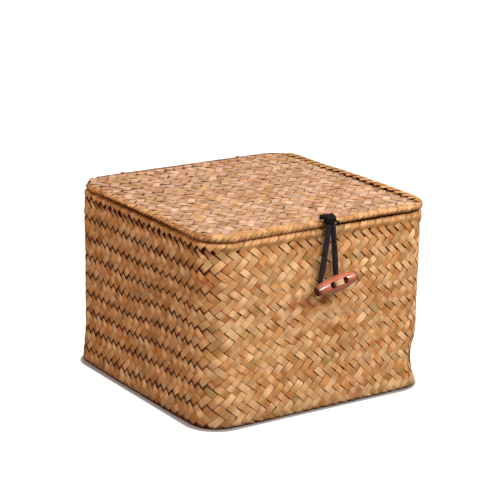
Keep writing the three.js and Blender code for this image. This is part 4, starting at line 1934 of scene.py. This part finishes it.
@dataclass
class Knot:
    """The knot on the lid's front edge: wrapped turns, an eye through the border, two frayed tails."""

    finishes: Finishes
    centre: Place = (0.9 * MM, -103.6 * MM, 150.3 * MM)
    cord: float = 1.75 * MM
    eye_centre: Place = (0.9 * MM, -100.2 * MM, 147.2 * MM)
    eye_radius: float = 3.0 * MM
    eye_cord: float = 1.1 * MM
    turn_points: int = 12

    def line(self, *points: Place) -> list[tuple[float, ...]]:
        """Points given in millimetres from the knot's middle."""
        return [tuple(middle + value * MM for middle, value in zip(self.centre, point)) for point in points]

    def ring(self, half_x: float, half_y: float, rise: float, tip_x: float, tip_y: float) -> list[Place]:
        """A level turn of the wrap, tipped a little.

        Args:
            half_x: Its half width, in millimetres.
            half_y: Its half depth.
            rise: Its height from the knot's middle.
            tip_x: How much higher its right end is than its middle.
            tip_y: How much higher its back is than its middle.

        Returns:
            The turn's points.
        """
        turns = [2 * math.pi * k / self.turn_points for k in range(self.turn_points)]
        around = [(math.cos(turn), math.sin(turn)) for turn in turns]
        return self.line(*((half_x * x, half_y * y, rise + tip_x * x + tip_y * y) for x, y in around))

    def tail(self, points: list[Place], radius: float, number: int) -> list[Bar]:
        """A tail with its end frayed into threads.

        Args:
            points: The tail's line.
            radius: Its radius.
            number: The seed of its threads.

        Returns:
            The bars that make it.
        """
        weave = braid(5, radius, 0.08, 5.0)
        rope = Tube(points, radius, 12, 0.4 * MM, taper=lambda share: 1.0 - 0.12 * share, relief=weave)
        bars = [rope.build(number)]
        rng = np.random.default_rng(number)
        end, before = np.array(points[-1]), np.array(points[-2])
        heading = (end - before) / np.linalg.norm(end - before)
        for _ in range(34):
            spread = rng.normal(0, 1, 3)
            spread -= heading * (spread @ heading)
            start = end - heading * 1.0 * MM + spread * radius * 0.38
            reach = rng.uniform(1.4, 3.2) * MM
            middle = start + heading * reach * 0.6 + spread * reach * 0.12
            tip = start + heading * reach + spread * reach * 0.3
            line = [start, middle, tip]
            thread = Tube(line, 0.16 * MM, 6, 0.5 * MM, taper=lambda share: 1.0 - 0.6 * share)
            bars.append(thread.build(number + 1))
        return bars

    def build(self) -> None:
        """Makes the knot."""
        turn = braid(6, self.cord, 0.05, 5.0)
        rope = {"radius": self.cord, "sides": 20, "step": 0.35 * MM, "relief": turn}
        bars = [
            Tube(self.ring(3.3, 2.3, -2.2, 0.2, 0.3), closed=True, **rope).build(1),
            Tube(self.ring(3.5, 2.5, 0.1, -0.5, 0.4), closed=True, **rope).build(2),
        ]
        over = self.line(
            (-2.9, -1.3, -3.6), (-3.0, -2.0, -1.2), (-2.3, -1.2, 0.9), (0.0, -0.5, 1.6),
            (2.3, 0.3, 1.2), (3.1, 1.0, -1.2), (2.4, 1.2, -3.4),
        )
        bars.append(Tube(over, **rope).build(3))
        core = self.line((0.0, 0.0, -4.6), (0.0, 0.0, -1.5), (0.2, 0.1, 1.5))
        plump = Tube(core, 2.9 * MM, 20, 0.5 * MM, taper=lambda s: np.sqrt(1.02 - (2 * s - 1) ** 2))
        bars.append(plump.build(4))
        left = self.line((-1.5, 0.6, 0.6), (-4.0, 0.9, 1.2), (-6.0, 1.0, 1.2), (-7.6, 1.0, 1.2))
        right = self.line((2.4, -0.2, -1.6), (4.6, -0.5, -2.6), (6.4, -0.6, -3.6), (7.4, -0.6, -4.5))
        bars += self.tail(left, 2.15 * MM, 7)
        bars += self.tail(right, 0.75 * MM, 17)
        eye = []
        for k in range(14):
            angle = 2 * math.pi * k / 14
            y = self.eye_centre[1] + self.eye_radius * math.cos(angle)
            eye.append((self.eye_centre[0], y, self.eye_centre[2] + self.eye_radius * math.sin(angle)))
        eye_ring = Tube(eye, self.eye_cord, 14, 0.4 * MM, closed=True, facing=(1.0, 0.0, 0.0))
        bars.append(eye_ring.build(9))
        knot = joined("closure_knot", bars, CORD_PLACE)
        settle(knot, "lid", "black_cord", "cord_knot", material=self.finishes.shaded_knot_cord)


@dataclass
class Toggle:
    """The turned wooden barrel and the pale strip that stitches it to the wall."""

    finishes: Finishes
    centre: Place = (3.4 * MM, -110.5 * MM, 101.3 * MM)
    length: float = 36.0 * MM
    middle_radius: float = 6.2 * MM
    end_radius: float = 3.7 * MM
    crown: float = 0.4
    tilt: float = math.radians(11.5)
    roll: float = math.radians(24.0)
    hole_spacing: float = 11.1 * MM
    hole_radius: float = 2.4 * MM
    hole_flare: float = 0.5 * MM
    edge_round: float = 0.35 * MM
    around: int = 64
    bar_width: float = 4.0 * MM
    bar_thickness: float = 0.6 * MM

    def pose(self) -> Matrix:
        """The barrel's place: along X, its holes along Y, rolled, tilted, then moved."""
        turned = Matrix.Rotation(-self.tilt, 4, "Y") @ Matrix.Rotation(-self.roll, 4, "X")
        return Matrix.Translation(self.centre) @ turned

    def surface(self, x: float) -> float:
        """The barrel's radius at a place on its axis."""
        share = min(1.0, abs(x) / (self.length / 2))
        crown = self.crown
        slant = (math.hypot(share, crown) - crown) / (math.hypot(1.0, crown) - crown)
        return self.middle_radius - (self.middle_radius - self.end_radius) * slant

    def lathe(self, name: str, profile: Sequence[tuple[float, float]], axis: str) -> Object:
        """Turns a profile into a closed solid.

        Args:
            name: The solid's name.
            profile: Pairs of place on the axis and radius, from one end to the other.
            axis: X or Y, the axis it turns round.

        Returns:
            The solid.
        """
        points, faces = [], []
        count = self.around
        for place, radius in profile:
            for k in range(count):
                angle = 2 * math.pi * k / count
                a, b = radius * math.cos(angle), radius * math.sin(angle)
                points.append((place, a, b) if axis == "X" else (b, place, a))
        for ring in range(len(profile) - 1):
            for k in range(count):
                here, beside = ring * count + k, ring * count + (k + 1) % count
                faces.append((here, beside, beside + count, here + count))
        faces.append(tuple(reversed(range(count))))
        last = (len(profile) - 1) * count
        faces.append(tuple(last + k for k in range(count)))
        mesh = bpy.data.meshes.new(name)
        mesh.from_pydata(points, [], faces)
        return placed(name, mesh)

    def barrel(self) -> None:
        """Makes the barrel with its two holes."""
        half = self.length / 2
        rings = 36
        inner = half - self.edge_round
        rounding = [self.edge_round * (1.0 - math.sin(math.pi / 2 * k / 5)) for k in range(5)]
        flank = [(-inner + 2 * inner * k / rings, 0.0) for k in range(rings + 1)]
        near_end = [(-half + away, away) for away in sorted(rounding)]
        places = near_end + flank[1:-1] + [(-place, away) for place, away in reversed(near_end)]
        profile = []
        for place, away in places:
            left = self.edge_round - away if away or abs(place) >= half else 0.0
            eased = self.edge_round - math.sqrt(max(0.0, self.edge_round**2 - left**2))
            profile.append((place, self.surface(place) - eased))
        barrel = self.lathe("turned_toggle", profile, "X")
        cutters = []
        hole, flare = self.hole_radius, self.hole_flare
        for side in (-1, 1):
            middle = side * self.hole_spacing / 2
            face = self.surface(middle)
            reach = self.middle_radius * 1.3
            mouth = [
                (-reach, hole + flare + (reach - face)),
                (-face, hole + flare * 0.8),
                (-face + flare * 0.8, hole + flare * 0.15),
                (-face + flare * 2, hole),
            ]
            shape = mouth + [(-place, radius) for place, radius in reversed(mouth)]
            cutter = self.lathe("hole_cutter", shape, "Y")
            cutter.data.transform(Matrix.Translation((middle, 0, 0)))
            cutters.append(cutter)
            cut = barrel.modifiers.new("hole", "BOOLEAN")
            cut.object = cutter
            cut.operation = "DIFFERENCE"
            cut.solver = "EXACT"
        drilled = evaluated_mesh(barrel)
        for cutter in cutters:
            bpy.data.objects.remove(cutter)
        place = drilled.attributes.new(TURNED_PLACE, "FLOAT_VECTOR", "POINT")
        for k, vertex in enumerate(drilled.vertices):
            place.data[k].vector = vertex.co
        drilled.transform(self.pose())
        drilled.shade_smooth()
        drilled.set_sharp_from_angle(angle=math.radians(38))
        settle(barrel, "toggle", "toggle_wood", "toggle", material=self.finishes.wood)

    def stitch_bar(self) -> None:
        """Makes the strip across the barrel's face, which dips into both holes."""
        inner_edge = self.hole_spacing / 2 - self.hole_radius
        half_path = (
            (inner_edge + 0.75 * MM, 4.0 * MM),
            (inner_edge + 0.6 * MM, 1.6 * MM),
            (inner_edge + 0.2 * MM, 0.35 * MM),
            (inner_edge - 0.6 * MM, -0.12 * MM),
            (inner_edge * 0.4, -0.2 * MM),
        )
        right = [(x, -(self.surface(x) - depth), 0.0) for x, depth in half_path]
        path = [(-x, y, z) for x, y, z in right] + right[::-1]
        strip = Tube(
            path,
            self.bar_thickness / 2,
            16,
            0.35 * MM,
            flat=self.bar_width / self.bar_thickness,
            facing=(-1.0, 0.0, 0.0),
        )
        points, faces, places = strip.build(3)
        places[:, 0] *= self.bar_width / self.bar_thickness
        bar = joined("stitch_face_strip", [(points, faces, places)], STRAW_PLACE)
        bar.data.transform(self.pose())
        settle(bar, "toggle", "stitch_straw", "stitch_bar", material=self.finishes.stitch)

    def build(self) -> None:
        """Makes the barrel and its face strip."""
        self.barrel()
        self.stitch_bar()


@dataclass
class Stitch:
    """The legs of the toggle's stitch, from its holes to the wall, and the bar inside the box."""

    finishes: Finishes
    leg_radius: float = 0.8 * MM

    def leg(self, side: str) -> None:
        """Makes one leg along the line of the CAD leg.

        Args:
            side: left or right.
        """
        node = "stitch_leg_" + side
        low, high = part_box(node)
        vertices = np.array([v.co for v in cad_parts[node].data.vertices])
        order = np.argsort(vertices[:, 1])
        count = max(6, len(order) // 12)
        line = []
        for k in range(7):
            near = low.y + (high.y - low.y) * k / 6
            closest = order[np.argsort(abs(vertices[order, 1] - near))[:count]]
            middle = (vertices[closest].min(0) + vertices[closest].max(0)) / 2
            line.append((middle[0], near, middle[2]))
        bar = Tube(line, self.leg_radius, 12, 0.4 * MM, relief=braid(2, self.leg_radius, 0.12, 7.0))
        leg = joined("stitch_" + side + "_leg", [bar.build(5)], STRAW_PLACE)
        leg.data.materials.append(self.finishes.stitch_leg)
        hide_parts(node)
        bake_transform(leg)
        report(leg)

    def inside_bar(self) -> None:
        """Makes the bar that the legs pull against inside the box."""
        low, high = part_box("stitch_inside_bar")
        middle = (low + high) / 2
        radius = (high.z - low.z) / 2
        path = [(low.x + (high.x - low.x) * k / 6, middle.y, middle.z) for k in range(7)]
        twist = braid(2, radius, 0.1, 6.0)
        ends = Tube(path, radius, 16, 0.3 * MM, relief=twist).build(8)
        bar = joined("stitch_cross_bar", [ends], STRAW_PLACE)
        settle(bar, "root", "stitch_straw", "stitch_inside_bar", material=self.finishes.stitch)

    def build(self) -> None:
        """Makes both legs and the bar."""
        for side in ("left", "right"):
            self.leg(side)
        self.inside_bar()


@dataclass
class Hinge:
    """The two rings of twine that tie the lid to the back of the rim."""

    finishes: Finishes
    tree: NodeTree
    twine_radius: float = 1.0 * MM
    plies: int = 3
    twists: float = 9.0

    def build(self) -> None:
        """Makes both rings where the CAD rings are."""
        for side in ("left", "right"):
            node = "hinge_loop_" + side
            low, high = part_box(node)
            sizes = {
                **inputs_from(self, "Twine Radius, Plies, Twists"),
                "Centre": tuple((low + high) / 2),
                "Ring Radius": (high.z - low.z) / 2 - self.twine_radius,
                "Material": self.finishes.twine,
            }
            ring = grown("hinge_ring_" + side, self.tree, sizes)
            settle(ring, "root", "hinge_twine", node)


@dataclass(frozen=True)
class Lamp:
    """A soft square lamp: its power in watts, its place and its side."""

    name: str
    power: float
    place: Place
    side: float


@dataclass
class Studio:
    """A plain pale floor, a white background and soft lamps."""

    floor_size: float = 12.0
    floor_grey: float = 0.16
    contact_grey: float = 0.27
    glow: float = 1.0
    glow_square: float = 76.0 * MM
    glow_shift: float = 1.3 * MM
    glow_start: float = 25.4 * MM
    glow_end: float = 28.5 * MM
    fill: float = 0.66
    fill_colour: Colour = (1.0, 0.58, 0.38, 1.0)
    aim: Place = (0.0, 0.0, 0.08)
    lamps: tuple[Lamp, ...] = (
        Lamp("key_lamp", 9.0, (0.8, -0.8, 1.05), 0.3),
        Lamp("sky_lamp", 8.8, (-0.42, -0.42, 1.35), 0.3),
        Lamp("front_lamp", 6.5, (-0.04, -1.05, 0.98), 0.17),
    )

    def hang(self, lamp: Lamp) -> None:
        """Adds a lamp that looks at the box.

        Args:
            lamp: The lamp.
        """
        data = bpy.data.lights.new(lamp.name, "AREA")
        data.energy = lamp.power
        data.size = lamp.side
        made = placed(lamp.name, data)
        made.location = lamp.place
        made.rotation_mode = "QUATERNION"
        made.rotation_quaternion = (Vector(self.aim) - Vector(lamp.place)).to_track_quat("-Z", "Y")

    def floor(self) -> None:
        """Adds the floor, which looks white to the camera and keeps the box's shadow; along the box's foot it
        has no glow, a painted dim band on which the real contact shadow falls.
        """
        half = self.floor_size / 2
        mesh = bpy.data.meshes.new("studio_floor")
        corners = [(-half, -half, 0.0), (half, -half, 0.0), (half, half, 0.0), (-half, half, 0.0)]
        mesh.from_pydata(corners, [], [(0, 1, 2, 3)])
        material, sheet, shader = new_material("studio_floor")
        grey = self.floor_grey
        seen = sheet.wire("ShaderNodeLightPath", "Is Camera Ray")
        # Painted shadow, in part: close round the box's foot the floor loses its glow and shows dim grey,
        # with the real shadow on it.
        shown = grey + seen * (self.contact_grey - grey)
        x, y, _ = sheet.parts(sheet.wire("ShaderNodeTexCoord", "Object"))
        beyond_x = (x + self.glow_shift).size() - self.glow_square - self.glow_shift
        far = past_square(beyond_x, y.size() - self.glow_square)
        dressing = {
            "Base Color": sheet.vector(shown, shown, shown),
            "Roughness": 0.9,
            "Emission Color": WHITE,
            "Emission Strength": seen * (far.eased(self.glow_start, self.glow_end) * self.glow),
        }
        sheet.fill(shader, dressing)
        mesh.materials.append(material)
        placed("studio_floor", mesh)

    def world(self) -> None:
        """Makes the background white where it is seen and a plain fill where it lights."""
        world = bpy.data.worlds.new("studio_world")
        world.use_nodes = True
        world.node_tree.nodes.clear()
        sheet = Sheet(world.node_tree)
        seen = sheet.wire("ShaderNodeLightPath", "Is Camera Ray")
        strength = seen + (1.0 - seen) * self.fill
        colour = sheet.mix(seen, self.fill_colour, WHITE)
        back = sheet.node("ShaderNodeBackground", {"Color": colour, "Strength": strength})
        sheet.node("ShaderNodeOutputWorld", {"Surface": back.outputs[0]})
        bpy.context.scene.world = world

    def build(self) -> None:
        """Adds the floor, the background and the lamps."""
        self.floor()
        self.world()
        for lamp in self.lamps:
            self.hang(lamp)
        bpy.context.scene.view_settings.view_transform = "Standard"


def main() -> None:
    """Builds the camera, the cord, the box's parts and the studio."""
    logging.basicConfig(level=logging.INFO, format="%(name)s: %(message)s")
    StudioCamera().build()
    finishes = Finishes.build(Toggle.length / 2 - TOGGLE_END_SKIN)
    CordLoop(finishes).build()
    trees = (band_tree(), panel_tree(), padding_tree())
    Body(finishes, Plaiting(), *trees).build()
    Lid(finishes, Plaiting(wander=0.5 * MM, uneven_width=0.11), *trees).build()
    Knot(finishes).build()
    Toggle(finishes).build()
    Stitch(finishes).build()
    Hinge(finishes, twine_ring_tree()).build()
    Studio().build()


if __name__ == "__main__":
    main()
